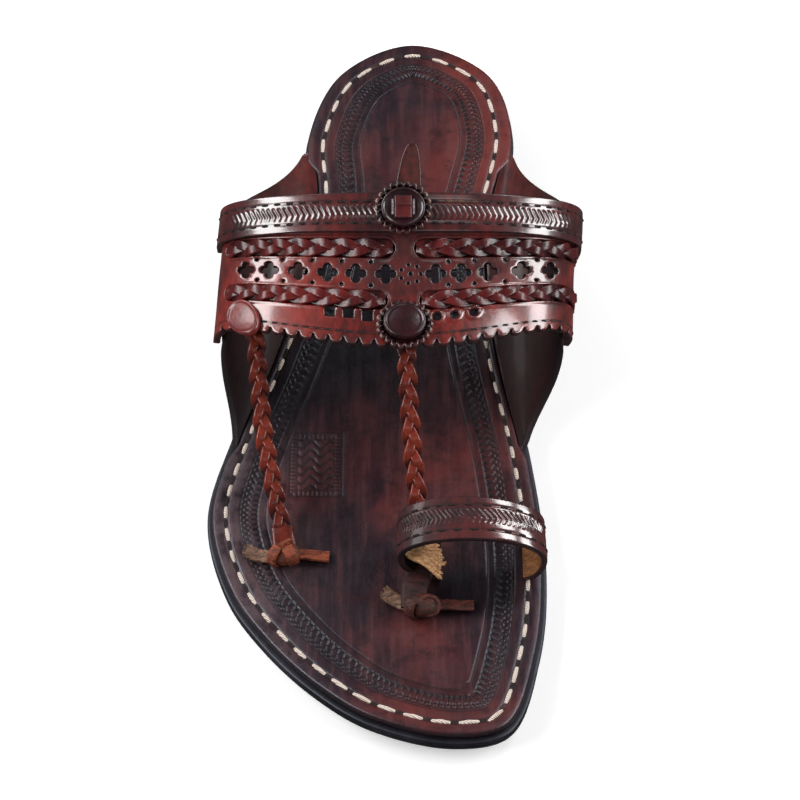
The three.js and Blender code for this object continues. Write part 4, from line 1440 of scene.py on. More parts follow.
# The centre collar and the centre knot are coloured darker than the side ones: painted shade, as they
# lie in the toe loop's shadow.
centre_collar_shaded_finish = raw_leather("collar_dark_leather", colour(26, 11, 14), colour(66, 28, 28))
side_knot_finish = raw_leather("side_knot_brown_leather", colour(62, 26, 16), colour(164, 80, 48))
centre_knot_shaded_finish = raw_leather("centre_knot_brown_leather", colour(28, 11, 11), colour(98, 42, 28))
frayed_finish = raw_leather("frayed_grey_leather", colour(66, 44, 36), colour(160, 122, 98))
raw_finish = raw_leather("raw_tan_leather", colour(180, 112, 66), colour(255, 212, 158))
# Pale leather of the slits' lips: a painted highlight.
slit_highlight_finish = raw_leather("worn_edge_leather", colour(86, 66, 72), colour(176, 156, 160))
insole_finish = insole_leather()
sole_finish = sole_edge_leather("sole_black_leather", colour(17, 17, 22), colour(40, 38, 46))
cream_thread = thread("cream_thread", colour(196, 174, 158), colour(244, 230, 220))
dark_thread = thread("dark_thread", colour(20, 12, 14), colour(44, 26, 26))


# Sole pieces

def rings_around(loop, profile, bottom, top):
    """Rings of a slab: (inset, share of the height, millimetres added) for each row of a profile."""
    rings = []
    for inset, share, extra in profile:
        ring = moved_in(loop, inset)
        z = mix(bottom(ring[:, 1]), top(ring[:, 1]), share) + extra
        rings.append(np.column_stack([ring, z]))
    return rings


def grid_inside(ring, spacing):
    """Points on a triangular grid inside a ring, and clear of it."""
    grid = spaced_points(ring.min(axis=0), ring.max(axis=0), spacing)
    return clear_of(grid[inside(ring, grid)], [ring], spacing * 0.5)


def lid(ring, grid, start, base):
    """Flat points and triangles that close a ring whose points are numbered from start.

    The flat points are numbered from base.
    """
    size = len(ring)
    flat, triangles, index = triangulated([ring], grid)
    triangles = triangles[inside(flat[index[:size]], flat[triangles].mean(axis=1))]
    renamed = np.arange(len(flat)) + base
    renamed[index[:size]] = np.arange(start, start + size)
    return flat, renamed[triangles]


def slab(loop, profile, bottom, top, spacing):
    """A closed slab of sole leather from its outline and the profile of its side, top row first."""
    loop = anticlockwise(loop)
    rings = rings_around(loop, profile, bottom, top)
    size = len(loop)
    points = np.vstack(rings)
    numbers = [range(level * size, (level + 1) * size) for level in range(len(rings))]
    faces = []
    for upper, lower in zip(numbers, numbers[1:]):
        faces += ring_faces(upper, lower)
    for level, surface, order in ((0, top, 1), (-1, bottom, -1)):
        ring = rings[level][:, :2]
        flat, triangles = lid(ring, grid_inside(ring, spacing), numbers[level][0], len(points))
        points = np.vstack([points, np.column_stack([flat, surface(flat[:, 1])])])
        faces += [tuple(t) for t in triangles[:, ::order].tolist()]
    faces, points = without_spares(faces, points)
    return points, facing_out(points, faces)


def make_outsole():
    """Outsole with a softened ledge, a groove along its side and a drawn-in foot."""
    points, faces = slab(outline, OUTSOLE_SIDE, outsole_bottom, outsole_top, spacing=7)
    mesh = make_mesh("outsole_body", points, faces, sole_finish)
    add_piece("outsole_body", mesh, "sole_leather", "outsole")


def make_heel():
    """Heel block built of three lifts of leather."""
    back = moved_in(anticlockwise(outline), HEEL_INSET)
    back = back[back[:, 1] >= HEEL_BREAST_Y]
    start = np.argmax(np.linalg.norm(np.diff(back, axis=0, append=back[:1]), axis=1)) + 1
    back = np.roll(back, -start, axis=0)
    breast = mix(back[-1], back[0], np.linspace(0, 1, 60)[1:-1, None])
    profile = list(HEEL_SHOULDER)
    for line in HEEL_SEAMS:
        profile += [(inset, share, line + extra) for inset, share, extra in HEEL_SEAM]
    profile += HEEL_FOOT

    def flat_top(y):
        return np.full(np.shape(y), HEEL_LIFT - GAP)

    points, faces = slab(np.vstack([back, breast]), profile, np.zeros_like, flat_top, spacing=6)
    mesh = make_mesh("heel_lifts", points, faces, sole_finish)
    add_piece("heel_lifts", mesh, "sole_leather", "heel_block")


def reach_to_middle(loop, inward, most):
    """How far in from each point of an outline that point is still the nearest one of the outline."""
    reach = np.full(len(loop), most)
    for depth in np.arange(most, 0, -0.5):
        tips = loop + inward * depth
        nearest = np.linalg.norm(tips[:, None, :] - loop[None, :, :], axis=2).min(axis=1)
        reach = np.where((nearest < depth - 0.05) & (reach >= depth), depth - 0.5, reach)
    return reach


def ways_in(loop):
    """Smoothed directions in from an outline, and how far rings of points may follow them."""
    neighbours = range(-8, 9)
    step = np.roll(loop, -1, axis=0) - np.roll(loop, 1, axis=0)
    inward = unit(np.stack([-step[:, 1], step[:, 0]], axis=1))
    inward = unit(np.mean([np.roll(inward, k, axis=0) for k in neighbours], axis=0))
    turn = np.roll(inward, -1, axis=0) - np.roll(inward, 1, axis=0)
    curve_radius = np.linalg.norm(step, axis=1) / np.linalg.norm(turn, axis=1)
    reach = np.repeat(reach_to_middle(loop[::2], inward[::2], BORDER_INNER), 2)
    reach = np.minimum(reach, 0.97 * curve_radius)
    reach = np.min([np.roll(reach, k) for k in neighbours], axis=0)
    return inward, np.mean([np.roll(reach, k) for k in neighbours], axis=0) - 0.5


def border_tooling(along, inset):
    """Stamped border: thin lines, a row of triangles and two rows of scallops."""
    lines = sum(np.exp(-(((inset - at) / 0.25) ** 2)) for at in BORDER_LINES) * 0.75
    tip, base = BORDER_TEETH
    off = off_multiple(along, BORDER_PITCH)
    slope = (base - tip) / (BORDER_PITCH / 2)
    teeth = smoothstep(inset - tip - slope * off, -0.2, 0.35)
    teeth = teeth * (1 - smoothstep(inset, base - 0.1, base + 0.1))
    scallops = 0
    for centre, radius, shift in BORDER_SCALLOPS:
        spot = np.hypot(off_multiple(along + shift * BORDER_PITCH, BORDER_PITCH), inset - centre)
        ring = 1 - smoothstep(np.abs(spot - radius), 0.12, 0.42)
        scallops = np.maximum(scallops, ring * (inset < centre) * (inset > BORDER_LINES[0]))
    return np.maximum(np.maximum(teeth, 0.8 * scallops), lines)


def stamp_tooling(x, y):
    """Stamped panel: a frame of short ticks round rows of waves."""
    across, along = x - STAMP_CENTRE[0], y - STAMP_CENTRE[1]
    wide, long = np.abs(across) - STAMP_SIZE[0] / 2, np.abs(along) - STAMP_SIZE[1] / 2
    outside = np.maximum(wide, long)
    ticks = np.where(wide > long, off_multiple(along, STAMP_TICK), off_multiple(across, STAMP_TICK))
    frame_cuts = (1 - smoothstep(ticks, 0.15, 0.4)) * (outside > -STAMP_TICKS_IN)
    sway = 1.4 * np.sin(across * 2 * math.pi / WAVE_LENGTH)
    waves = smoothstep(np.sin((along + sway) * 2 * math.pi / WAVE_PITCH), -0.1, 0.6)
    waves = waves * (outside < -STAMP_WAVES_IN)
    edge = np.exp(-(((outside + STAMP_LINE_IN) / 0.25) ** 2)) + np.exp(-((outside / 0.3) ** 2))
    return np.maximum((frame_cuts + waves) * (outside < 0), edge) * 0.75


def make_insole():
    """Insole with rounded edge, stitch channel, tooled border that follows its outline, and a stamp."""
    loop = anticlockwise(smooth_curve(SOLE_OUTLINE, True, 2 * OUTLINE_POINTS, steps=400))
    size = len(loop)
    inward, reach = ways_in(loop)
    edge = insole_edge_inset(loop[:, 1])
    length = lengths_along(loop)
    depths = [edge + inset for inset, drop, burnish in INSOLE_SIDE]
    drops = [np.full(size, drop) for inset, drop, burnish in INSOLE_SIDE]
    edges = [np.full(size, burnish) for inset, drop, burnish in INSOLE_SIDE]
    tooled = [np.zeros(size)] * len(INSOLE_SIDE)
    for k, level in enumerate(BORDER_RINGS):
        depth = np.maximum(level, edge + 1.0 + RING_STEP * k)
        depth = np.minimum(depth, reach - RING_STEP * (len(BORDER_RINGS) - k))
        pressed = border_tooling(length, depth)
        channel = 0.3 * np.exp(-(((depth - STITCH_LINE) / 0.9) ** 2))
        depths.append(depth)
        drops.append(-channel - 0.3 * pressed)
        edges.append(np.zeros(size))
        tooled.append(pressed)
    rings = [loop + inward * depth[:, None] for depth in depths]
    points = np.vstack([np.column_stack([r, insole_top(r[:, 1]) + d]) for r, d in zip(rings, drops)])
    uv = np.vstack([np.column_stack([length, depth]) for depth in depths])
    marks = {"edge": np.concatenate(edges), "tooled": np.concatenate(tooled)}
    faces = []
    for level in range(len(depths) - 1):
        a, b = level * size, (level + 1) * size
        faces += [(a + k, a + (k + 1) % size, b + (k + 1) % size, b + k) for k in range(size)]
    half = np.array(STAMP_SIZE) / 2 + STAMP_MARGIN
    stamp_points = spaced_points(STAMP_CENTRE - half, STAMP_CENTRE + half, STAMP_SPACING)
    last = (len(depths) - 1) * size
    lids = ((rings[-1], last, insole_top, 2.2), (rings[0], 0, insole_bottom, 8))
    for ring, start, surface, spacing in lids:
        grid = grid_inside(ring, spacing)
        if start:
            off_stamp = (np.abs(grid - STAMP_CENTRE) > half + 0.5).any(axis=1)
            grid = np.vstack([grid[off_stamp], stamp_points])
        flat, triangles = lid(ring, grid, start, len(points))
        pressed = stamp_tooling(flat[:, 0], flat[:, 1]) if start else np.zeros(len(flat))
        points = np.vstack([points, np.column_stack([flat, surface(flat[:, 1]) - TOOL_DEPTH * pressed])])
        uv = np.vstack([uv, np.tile((0, INSOLE_MIDDLE), (len(flat), 1))])
        marks["edge"] = np.concatenate([marks["edge"], np.zeros(len(flat))])
        marks["tooled"] = np.concatenate([marks["tooled"], pressed])
        turned = triangles if start else triangles[:, ::-1]
        faces += [tuple(t) for t in turned.tolist()]
    faces, points, uv, edge, pressed = without_spares(faces, points, uv, marks["edge"], marks["tooled"])
    marks = {"edge": edge, "tooled": pressed}
    mesh = make_mesh("insole_body", points, facing_out(points, faces), insole_finish, uv, marks)
    add_piece("insole_body", mesh, "insole_leather", "insole")


def make_insole_stitches():
    """Cream running stitches all round the insole, longer apart at the heel, with dark bars of painted
    shade in the holes between them.
    """
    path = moved_in(anticlockwise(outline), STITCH_LINE)
    closed = np.vstack([path, path[:1]])
    length = lengths_along(closed)
    at, places = 0.0, []
    while at < length[-1] - 3:
        places.append(at)
        k = min(np.searchsorted(length, at), len(path) - 1)
        at += mix(STITCH_PITCH_TOE, STITCH_PITCH_HEEL, smoothstep(path[k, 1], 0, 80))

    def laid(wanted, sink):
        spot = at_lengths(wanted, length, closed)
        return np.column_stack([spot, insole_top(spot[:, 1]) - 0.12 - sink])

    points = laid(places, 0)
    along = unit(laid(np.add(places, 1.0), 0) - points)
    up = unit(np.cross(np.cross(along, (0, 0, 1.0)), along))
    stretch = 1 + 0.35 * smoothstep(-points[:, 1], 92, 118) + 0.3 * smoothstep(points[:, 1], 50, 80)
    stretch = stretch * np.random.default_rng(3).uniform(0.92, 1.08, len(points))
    mesh = stitch_rows("insole_stitches", [(points, along, up)], INSOLE_STITCH, cream_thread, stretch)
    add_piece("insole_stitches", mesh, "insole_leather")
    # Dark bars between the stitches are painted shade in the stitch holes.
    gaps = (np.array(places) + np.append(places[1:], length[-1])) / 2
    mesh = stitch_rows("stitch_holes", [(laid(gaps, 0.1), along, up)], STITCH_HOLE_SHADE, dark_thread)
    add_piece("stitch_holes", mesh, "insole_leather")


# Upper pieces

def ear_rise(run):
    rear, front = UPPER_SECTIONS[0][0], UPPER_SECTIONS[-1][0]
    behind = np.clip(1 - run / rear, 0, 1) ** EAR_REAR_POWER
    ahead = np.clip((front - run) / (front - 1), 0, 1) ** EAR_FRONT_POWER
    to_end = np.minimum(run - rear, front - run)
    tip = EAR_TIP * mix(0.15, 1.0, smoothstep(to_end, 0, EAR_TIP_RUN))
    return mix(tip, EAR_UNDER_BAND, behind * ahead)


def make_ear(name, node, way):
    """Side flap from the sole's edge up inside the band."""
    rear, front = UPPER_SECTIONS[0][0] * BAND_LENGTH, UPPER_SECTIONS[-1][0] * BAND_LENGTH

    def place(a, b, height):
        run = np.clip(a, rear + 0.05, front - 0.05) / BAND_LENGTH
        turn = way * (2 - np.clip(b / EAR_HEIGHT, 0.002, 1) * ear_rise(run))
        return lifted(upper_by_turn, turn, run, height - GAP - EAR_THICK)

    def creases(a, b):
        return sum(
            -deep * np.exp(-(((a - at - lean * b) / wide) ** 2)) * smoothstep(b, *EAR_CREASE_START)
            for at, lean, wide, deep in EAR_CREASES
        )

    corners = np.array([(rear, 0), (front, 0), (front, EAR_HEIGHT), (rear, EAR_HEIGHT)], float)
    border = closed_line(corners, step=1.2)
    cut = cut_leather(border, place, EAR_THICK, rounding=0.7, spacing=1.3, relief=creases)
    add_leather(name, cut, ear_finish, "ear_leather", node)


def pinked_edge():
    """The band's front edge: rounded teeth between narrow notches."""
    s = np.arange(0.5 - BAND_END, BAND_END - 0.4, 0.235)
    off = np.abs(s % PINK_PITCH - PINK_PITCH / 2) / (PINK_PITCH / 2 - PINK_GAP)
    tooth = np.sqrt(np.clip(1 - off**2.6, 0, 1))
    notch = (1 - tooth) * (np.abs(s) < LAST_TOOTH)
    rise = RIGHT_END_RISE * smoothstep(s, RIGHT_END_FROM, BAND_END)
    return np.stack([s, BAND_LENGTH - PINK_DEPTH * notch - rise], axis=1)


def window_loop(start, end, run):
    """Long round-ended window for a plait."""
    left, right = min(start, end), max(start, end)
    radius = WINDOW_HALF_WIDTH
    turn = np.linspace(-math.pi / 2, math.pi / 2, 15)
    right_end = np.stack([right - radius + radius * np.cos(turn), radius * np.sin(turn)], axis=1)
    left_end = np.stack([left + radius - radius * np.cos(turn), -radius * np.sin(turn)], axis=1)
    loop = closed_line(np.vstack([right_end, left_end]), step=1.0)
    return loop + (0, run * BAND_LENGTH)


def clover_hole(s):
    """Hole of four round leaves."""
    angle = np.linspace(0, 2 * math.pi, 48, endpoint=False)
    off = (angle + math.pi / 4) % (math.pi / 2) - math.pi / 4
    chord = np.maximum(LEAF_RADIUS**2 - (LEAF_REACH * np.sin(off)) ** 2, 0)
    radius = LEAF_REACH * np.cos(off) + np.sqrt(chord)
    across = CLOVER_RUN * BAND_LENGTH + radius * np.sin(angle)
    return np.stack([s + radius * np.cos(angle), across], axis=1)


def band_border():
    """The band's outline: pinked front edge, ends and straight rear edge."""
    rear = np.stack([np.arange(BAND_END, -BAND_END - 0.01, -1.0), np.zeros(2 * BAND_END + 1)], axis=1)
    end_step = np.linspace(0, BAND_LENGTH, 50)[1:-1]
    right_step = end_step[::-1] * (1 - RIGHT_END_RISE / BAND_LENGTH)
    right_end = np.stack([np.full(len(end_step), float(BAND_END)), right_step], axis=1)
    left_end = np.stack([np.full(len(end_step), float(-BAND_END)), end_step], axis=1)
    return np.vstack([pinked_edge(), right_end, rear, left_end])


def make_band():
    """Instep band: four-lobed openwork, pinholes, slots and eyelets, windows and a pinked edge."""
    middle = CLOVER_RUN * BAND_LENGTH
    holes = [clover_hole(s) for s in CLOVERS]
    for before, after in zip(CLOVERS, CLOVERS[1:]):
        if before * after > 0:
            for rise in (-PINHOLE_RISE, PINHOLE_RISE):
                holes.append(circle((before + after) / 2, middle + rise, PINHOLE_RADIUS, 10))
    holes.append(circle(FLOWER_S, middle, PINHOLE_RADIUS, 10))
    for x, y in circle(FLOWER_S, middle, FLOWER_RADIUS, FLOWER_HOLES):
        holes.append(circle(x, y, PINHOLE_RADIUS * 0.8, 8))
    for s, run in SLOTS:
        holes.append(rectangle(np.array(SLOT_SIZE) / 2, step=0.5, centre=(s, run * BAND_LENGTH)))
    raised = []
    for s, run in EYELETS:
        holes.append(circle(s, run * BAND_LENGTH, EYELET_RADIUS, 20))
        for out, level in EYELET_RIM:
            raised.append((circle(s, run * BAND_LENGTH, EYELET_RADIUS + out, 20), level))
    windows = [window_loop(start, end, run) for _, start, end, run in PLAITS]
    cut = cut_leather(
        band_border(), band_place, BAND_THICK, rounding=0.4, spacing=1.0,
        holes=holes, windows=windows, raised=raised,
    )
    add_leather("openwork_band", cut, band_finish, "band_leather", "instep_band")


def strip_width(s):
    """Width of the strip, which widens to its ends."""
    widening = smoothstep(np.abs(s), STRIP_WIDENS_AT, BAND_END)
    return BAND_LENGTH * mix(STRIP_RUN, STRIP_END_RUN, widening)


def make_top_strip():
    """Tooled strip along the band's rear edge."""
    s = np.arange(-BAND_END, BAND_END + 0.01, 0.8)
    lower = np.stack([s, strip_width(s)], axis=1)
    rear = np.stack([s[::-1], np.zeros(len(s))], axis=1)
    border = closed_line(np.vstack([lower, rear]), step=0.8)
    tooling = tooled_rows(
        strip_width, STRIP_ROWS, STRIP_CUTS, STRIP_CUT_PITCH, CUT_LEAN, STRIP_CUT_FADE,
    )
    cut = cut_leather(
        border, band_place, STRIP_THICK, rounding=0.4, spacing=0.45,
        base=BAND_THICK + GAP, tooling=tooling,
    )
    add_leather("tooled_strip", cut, strip_finish, "band_leather", "top_strip")


def plait_lines(length, pitch, swing, rise, place, step=0.35):
    """Centre lines, up directions and painted shade, deepest in the folds, of three strips plaited along
    a path.
    """
    along = np.linspace(0, length, int(length / step))
    lines = []
    for k in range(3):
        turn = 2 * math.pi * (along / (3 * pitch) + k / 3)
        across = swing * (np.sin(turn) - 0.07 * np.sin(3 * turn))
        lift = rise * np.sin(2 * turn)
        line = place(along, across, lift)
        above = place(along, across, lift + 0.5)
        # Painted shade where a strip dips under the others.
        lines.append((line, unit(above - line), smoothstep(-np.sin(2 * turn), -0.2, 1.0)))
    return lines


def make_band_plaits():
    """Three-strip plaits lying in the band's windows."""
    for node, start, end, run in PLAITS:
        way = np.sign(end - start)
        length = abs(end - start) - 2 * PLAIT_END_GAP
        middle = BAND_THICK - WINDOW_DEPTH + PLAIT_LIFT

        def place(along, across, lift):
            to_end = np.minimum(along, length - along)
            sink = PLAIT_END_SINK * (1 - smoothstep(to_end, 0, 4.0))
            narrow = mix(0.35, 1.0, smoothstep(to_end, -0.5, 3.5))
            s = start + way * (along + PLAIT_END_GAP)
            return on_band(s, run + across * narrow / BAND_LENGTH, middle + lift - sink)

        name = node + "_strips"
        lines = plait_lines(length, PLAIT_PITCH, PLAIT_SWING, PLAIT_RISE, place)
        add_piece(name, strips(name, lines, *PLAIT_STRIP, plait_finish), "plait_leather", node)


def thong_path(thong):
    """Centre line of a thong from under the band to the insole, evenly sampled."""
    under = -GAP - THONG_THICK
    start = on_band(thong["start_s"], THONG_START_RUN, under)
    edge = on_band(thong["edge_s"], 1.0, under) - (0, 0, thong["drop"])
    rest = [np.add(p, (0, 0, BALL_TOP)) for p in thong["path"]]
    return smooth_curve(np.vstack([start, edge] + rest), closed=False, count=240)


def make_thong(name, node, thong):
    """Three-strip plait that runs free from the band to the insole."""
    path = thong_path(thong)
    steps = lengths_along(path)
    tangent = unit(np.gradient(path, axis=0))
    side = unit(np.cross(tangent, (0, 0, 1.0)))
    normal = np.cross(side, tangent)

    def place(along, across, lift):
        middle, beside, above = (at_lengths(along, steps, table) for table in (path, side, normal))
        return middle + beside * across[:, None] + above * lift[:, None]

    lines = plait_lines(steps[-1], THONG_PITCH, THONG_SWING, THONG_RISE, place)
    add_piece(name, strips(name, lines, *THONG_STRIP, thong_finish), "plait_leather", node)


def turned_on_band(profile, segments, s, run, base, reach=None, stretch=1.0):
    """A turned profile of (radius, height), bent onto the band at a place and stretched across it."""
    angle = np.linspace(0, 2 * math.pi, segments, endpoint=False)
    points, faces, flat = [], [], []
    for radius, height in profile:
        grow = np.ones(segments) if reach is None else reach(angle, radius)
        x, y = radius * grow * np.cos(angle), stretch * radius * grow * np.sin(angle)
        points.append(on_band(s + x, run + y / BAND_LENGTH, np.full(segments, base + height)))
        flat.append(np.stack([x, y], axis=1))
    for level in range(len(profile) - 1):
        for k in range(segments):
            n = (k + 1) % segments
            a, b = level * segments, (level + 1) * segments
            faces.append((a + k, a + n, b + n, b + k))
    last = len(profile) * segments
    points += [on_band(s, run, base + height)[None] for height in (profile[0][1], profile[-1][1])]
    flat.append(np.zeros((2, 2)))
    for k in range(segments):
        n = (k + 1) % segments
        faces.append((last, n, k))
        faces.append((last + 1, last - segments + k, last - segments + n))
    points = np.vstack(points)
    marks = {"edge": np.zeros(len(points)), "flesh": np.zeros(len(points))}
    return points, facing_out(points, faces), np.vstack(flat), marks


def make_washer(name, node, medallion):
    """Washer with a ring of small rounded teeth."""
    base = BAND_THICK + GAP + medallion["layer"]
    rng = np.random.default_rng(WASHER_TEETH)
    longer, wear_and_painted_light = rng.uniform(0.96, 1.0, WASHER_TEETH), rng.uniform(0.1, 1.0, WASHER_TEETH)

    def number(angle):
        return np.round(angle * WASHER_TEETH / (2 * math.pi)).astype(int) % WASHER_TEETH

    def reach(angle, radius):
        if radius < WASHER_RADIUS - TEETH_WIDTH:
            return np.ones(len(angle))
        tooth = np.sqrt(np.abs(np.cos(angle * WASHER_TEETH / 2)))
        return (1 - 0.15 * (1 - tooth)) * longer[number(angle)]

    teeth = [(WASHER_RADIUS - inset, height) for inset, height in TEETH_SECTION]
    profile = [(WASHER_INNER, 0), *teeth, (WASHER_INNER, WASHER_FLOOR)]
    segments = TOOTH_POINTS * WASHER_TEETH
    cut = turned_on_band(profile, segments, medallion["s"], medallion["run"], base, reach)
    uv, marks = cut[2:]
    around = np.arctan2(uv[:, 1], uv[:, 0])
    # Painted glint: the teeth's cut edges are tinted pale, most at the left and right where the side
    # lights catch them, unevenly from tooth to tooth.
    light = wear_and_painted_light[number(around)] * mix(0.1, 1.0, np.cos(around) ** 4)
    out = np.hypot(uv[:, 0], uv[:, 1])
    marks["edge"] = light * smoothstep(out, WASHER_RADIUS - 1.1, WASHER_RADIUS - 0.5)
    add_leather(name, cut, washer_finish, "band_leather", node)


def disc_profile(radius, thick, dish):
    """Side, raised rim and dished (or, below 0, domed) middle of a disc."""
    rim = [
        (radius * 0.5, 0), (radius - 0.25, 0), (radius, 0.3), (radius, thick * 0.55),
        (radius - 0.12, thick * 0.85), (radius - 0.4, thick), (radius - 0.75, thick - 0.08),
        (radius - 1.05, thick - 0.4),
    ]
    inner = radius - 1.25
    shares = np.array([1, 0.85, 0.65, 0.45, 0.25, 0.1])
    middle = [(inner * t, thick - 0.45 - dish * (1 - t * t)) for t in shares]
    return rim + middle


def make_medallion(name, node, medallion, radius, dish):
    """Disc on its washer."""
    base = BAND_THICK + GAP + medallion["layer"] + WASHER_THICK + GAP
    profile = disc_profile(radius, DISC_THICK, dish)
    cut = turned_on_band(profile, 72, medallion["s"], medallion["run"], base)
    add_leather(name, cut, disc_finish, "band_leather", node)


def make_threaded_strip():
    """Short strap threaded through the rear medallion: a pad with a groove across its middle."""
    base = BAND_THICK + GAP + REAR_MEDALLION["layer"] + WASHER_THICK + GAP + DISC_THICK - STRAP_SINK
    centre = np.array((REAR_MEDALLION["s"], REAR_MEDALLION["run"] * BAND_LENGTH))

    def middle_groove(a, b):
        return -0.45 * np.exp(-(((b - centre[1]) / 0.35) ** 2))

    border = rectangle(STRAP_HALF, step=0.8) + centre
    cut = cut_leather(
        border, band_place, STRAP_THICK, rounding=0.6, spacing=0.4, base=base, relief=middle_groove,
    )
    points, faces, uv, marks = cut
    strap = make_mesh("threaded_strip", points, faces, strap_finish, uv, marks)
    # The slits' lips are pale strips: a painted highlight on the slits' edges.
    slits = []
    for side in (-1, 1):
        b = centre[1] + np.linspace(-SLIT_HALF, SLIT_HALF, SLIT_POINTS)
        s = np.full(SLIT_POINTS, centre[0] + side * (STRAP_HALF[0] + SLIT_GAP))
        line = band_place(s, b, base + 1.0)
        slits.append((line, unit(band_place(s, b, base + 2.0) - line), 0.0))
    merge_into(strap, strips("strap_slits", slits, 0.6, 0.5, slit_highlight_finish))
    add_piece("threaded_strip", strap, "band_leather")


def make_side_disc():
    """Plain disc at the band's outer shoulder."""
    base = BAND_THICK + GAP
    profile = disc_profile(SIDE_DISC_RADIUS, SIDE_DISC_THICK, SIDE_DISH)
    s, run, stretch = SIDE_DISC["s"], SIDE_DISC["run"], SIDE_DISC["stretch"]
    cut = turned_on_band(profile, 64, s, run, base, stretch=stretch)
    add_leather("shoulder_disc", cut, shoulder_finish, "band_leather", "side_disc")


def make_tab():
    """Leaf-shaped tab that stands up behind the rear medallion."""
    low, high = (run * BAND_LENGTH for run in TAB_RUN)
    b = mix(low, high, np.linspace(0, 1, 40))
    share = np.clip((b - high) / -high, 0, 1)
    half = TAB_HALF_WIDTH * np.maximum(share, TAB_TIP) ** TAB_TAPER
    middle = TAB_S + TAB_LEAN * np.clip(b / high, 0, 1)
    right = np.stack([middle + half, b], axis=1)
    left = np.stack([middle - half, b], axis=1)[::-1]
    border = closed_line(np.vstack([right, left]), step=0.6)
    base = -GAP - TAB_THICK
    cut = cut_leather(border, band_place, TAB_THICK, rounding=0.45, spacing=0.9, base=base)
    add_leather("leaf_tab", cut, tab_finish, "band_leather", "rear_tab")


def make_toe_loop():
    """Toe loop: a tooled strap whose raw inner side shows."""
    reach = 2 * LOOP_QUARTER

    def place(a, b, height):
        turn = np.clip(a, -reach + 0.02, reach - 0.02) / LOOP_QUARTER
        run = np.clip(b / LOOP_WIDTH, 0, 1)
        return lifted(loop_by_turn, turn, run, height)

    corners = np.array([(-reach, 0), (reach, 0), (reach, LOOP_WIDTH), (-reach, LOOP_WIDTH)], float)
    tooling = tooled_rows(
        lambda a: LOOP_WIDTH, LOOP_ROWS, LOOP_CUTS, LOOP_CUT_PITCH, CUT_LEAN, LOOP_CUT_FADE,
    )
    border = closed_line(corners, step=0.8)
    cut = cut_leather(border, place, LOOP_THICK, rounding=0.5, spacing=0.33, tooling=tooling)
    add_leather("tooled_toe_loop", cut, loop_finish, "band_leather", "toe_loop")


def ball(centre, radii, rows=10, columns=20):
    """A rounded lump."""
    down = np.linspace(0, math.pi, rows + 2)[1:-1, None]
    around = np.linspace(0, 2 * math.pi, columns, endpoint=False)[None, :]
    spots = points_of(np.sin(down) * np.cos(around), np.sin(down) * np.sin(around), np.cos(down))
    spots = np.vstack([spots.reshape(-1, 3), [(0, 0, 1), (0, 0, -1)]])
    points = np.asarray(centre) + spots * radii
    top = rows * columns
    faces = []
    for k in range(columns):
        n = (k + 1) % columns
        for row in range(rows - 1):
            a, b = row * columns, (row + 1) * columns
            faces.append((a + k, b + k, b + n, a + n))
        faces.append((top, k, n))
        faces.append((top + 1, top - columns + n, top - columns + k))
    return points, facing_out(points, faces)


def wrap_line(centre, axis, radius, start, end, slip):
    """A turn of strip round an axis, from one angle to another, slipping along the axis."""
    axis = unit(np.asarray(axis, float))
    first = unit(np.cross(axis, (0.13, 0.2, 1.0)))
    second = np.cross(axis, first)
    turn = np.radians(np.linspace(start, end, TURN_POINTS))[:, None]
    out = np.cos(turn) * first + np.sin(turn) * second
    line = np.asarray(centre) + out * radius + axis * np.linspace(-slip, slip, TURN_POINTS)[:, None]
    return line, out, 0.0


def tail_line(x, y, floor, degrees, length, curl):
    """A tail that leaves a knot, drops to the insole and curls up a little at its end."""
    angle = math.radians(degrees)
    way = np.array((math.cos(angle), math.sin(angle), 0))
    side = np.array((-math.sin(angle), math.cos(angle), 0))
    t = np.linspace(0, 1, TAIL_POINTS)[:, None]
    rise = 2.0 * (1 - t) ** 2 + curl * np.maximum(t - 0.55, 0) ** 2
    path = np.array((x, y, floor + 0.75)) + way * length * t + side * np.sin(t * 4) * 0.5
    path = path + np.array((0, 0, 1.0)) * rise
    lean = unit(np.array((0, 0, 1.0)) + side * 0.25)
    return path, np.tile(lean, (TAIL_POINTS, 1)), 0.0


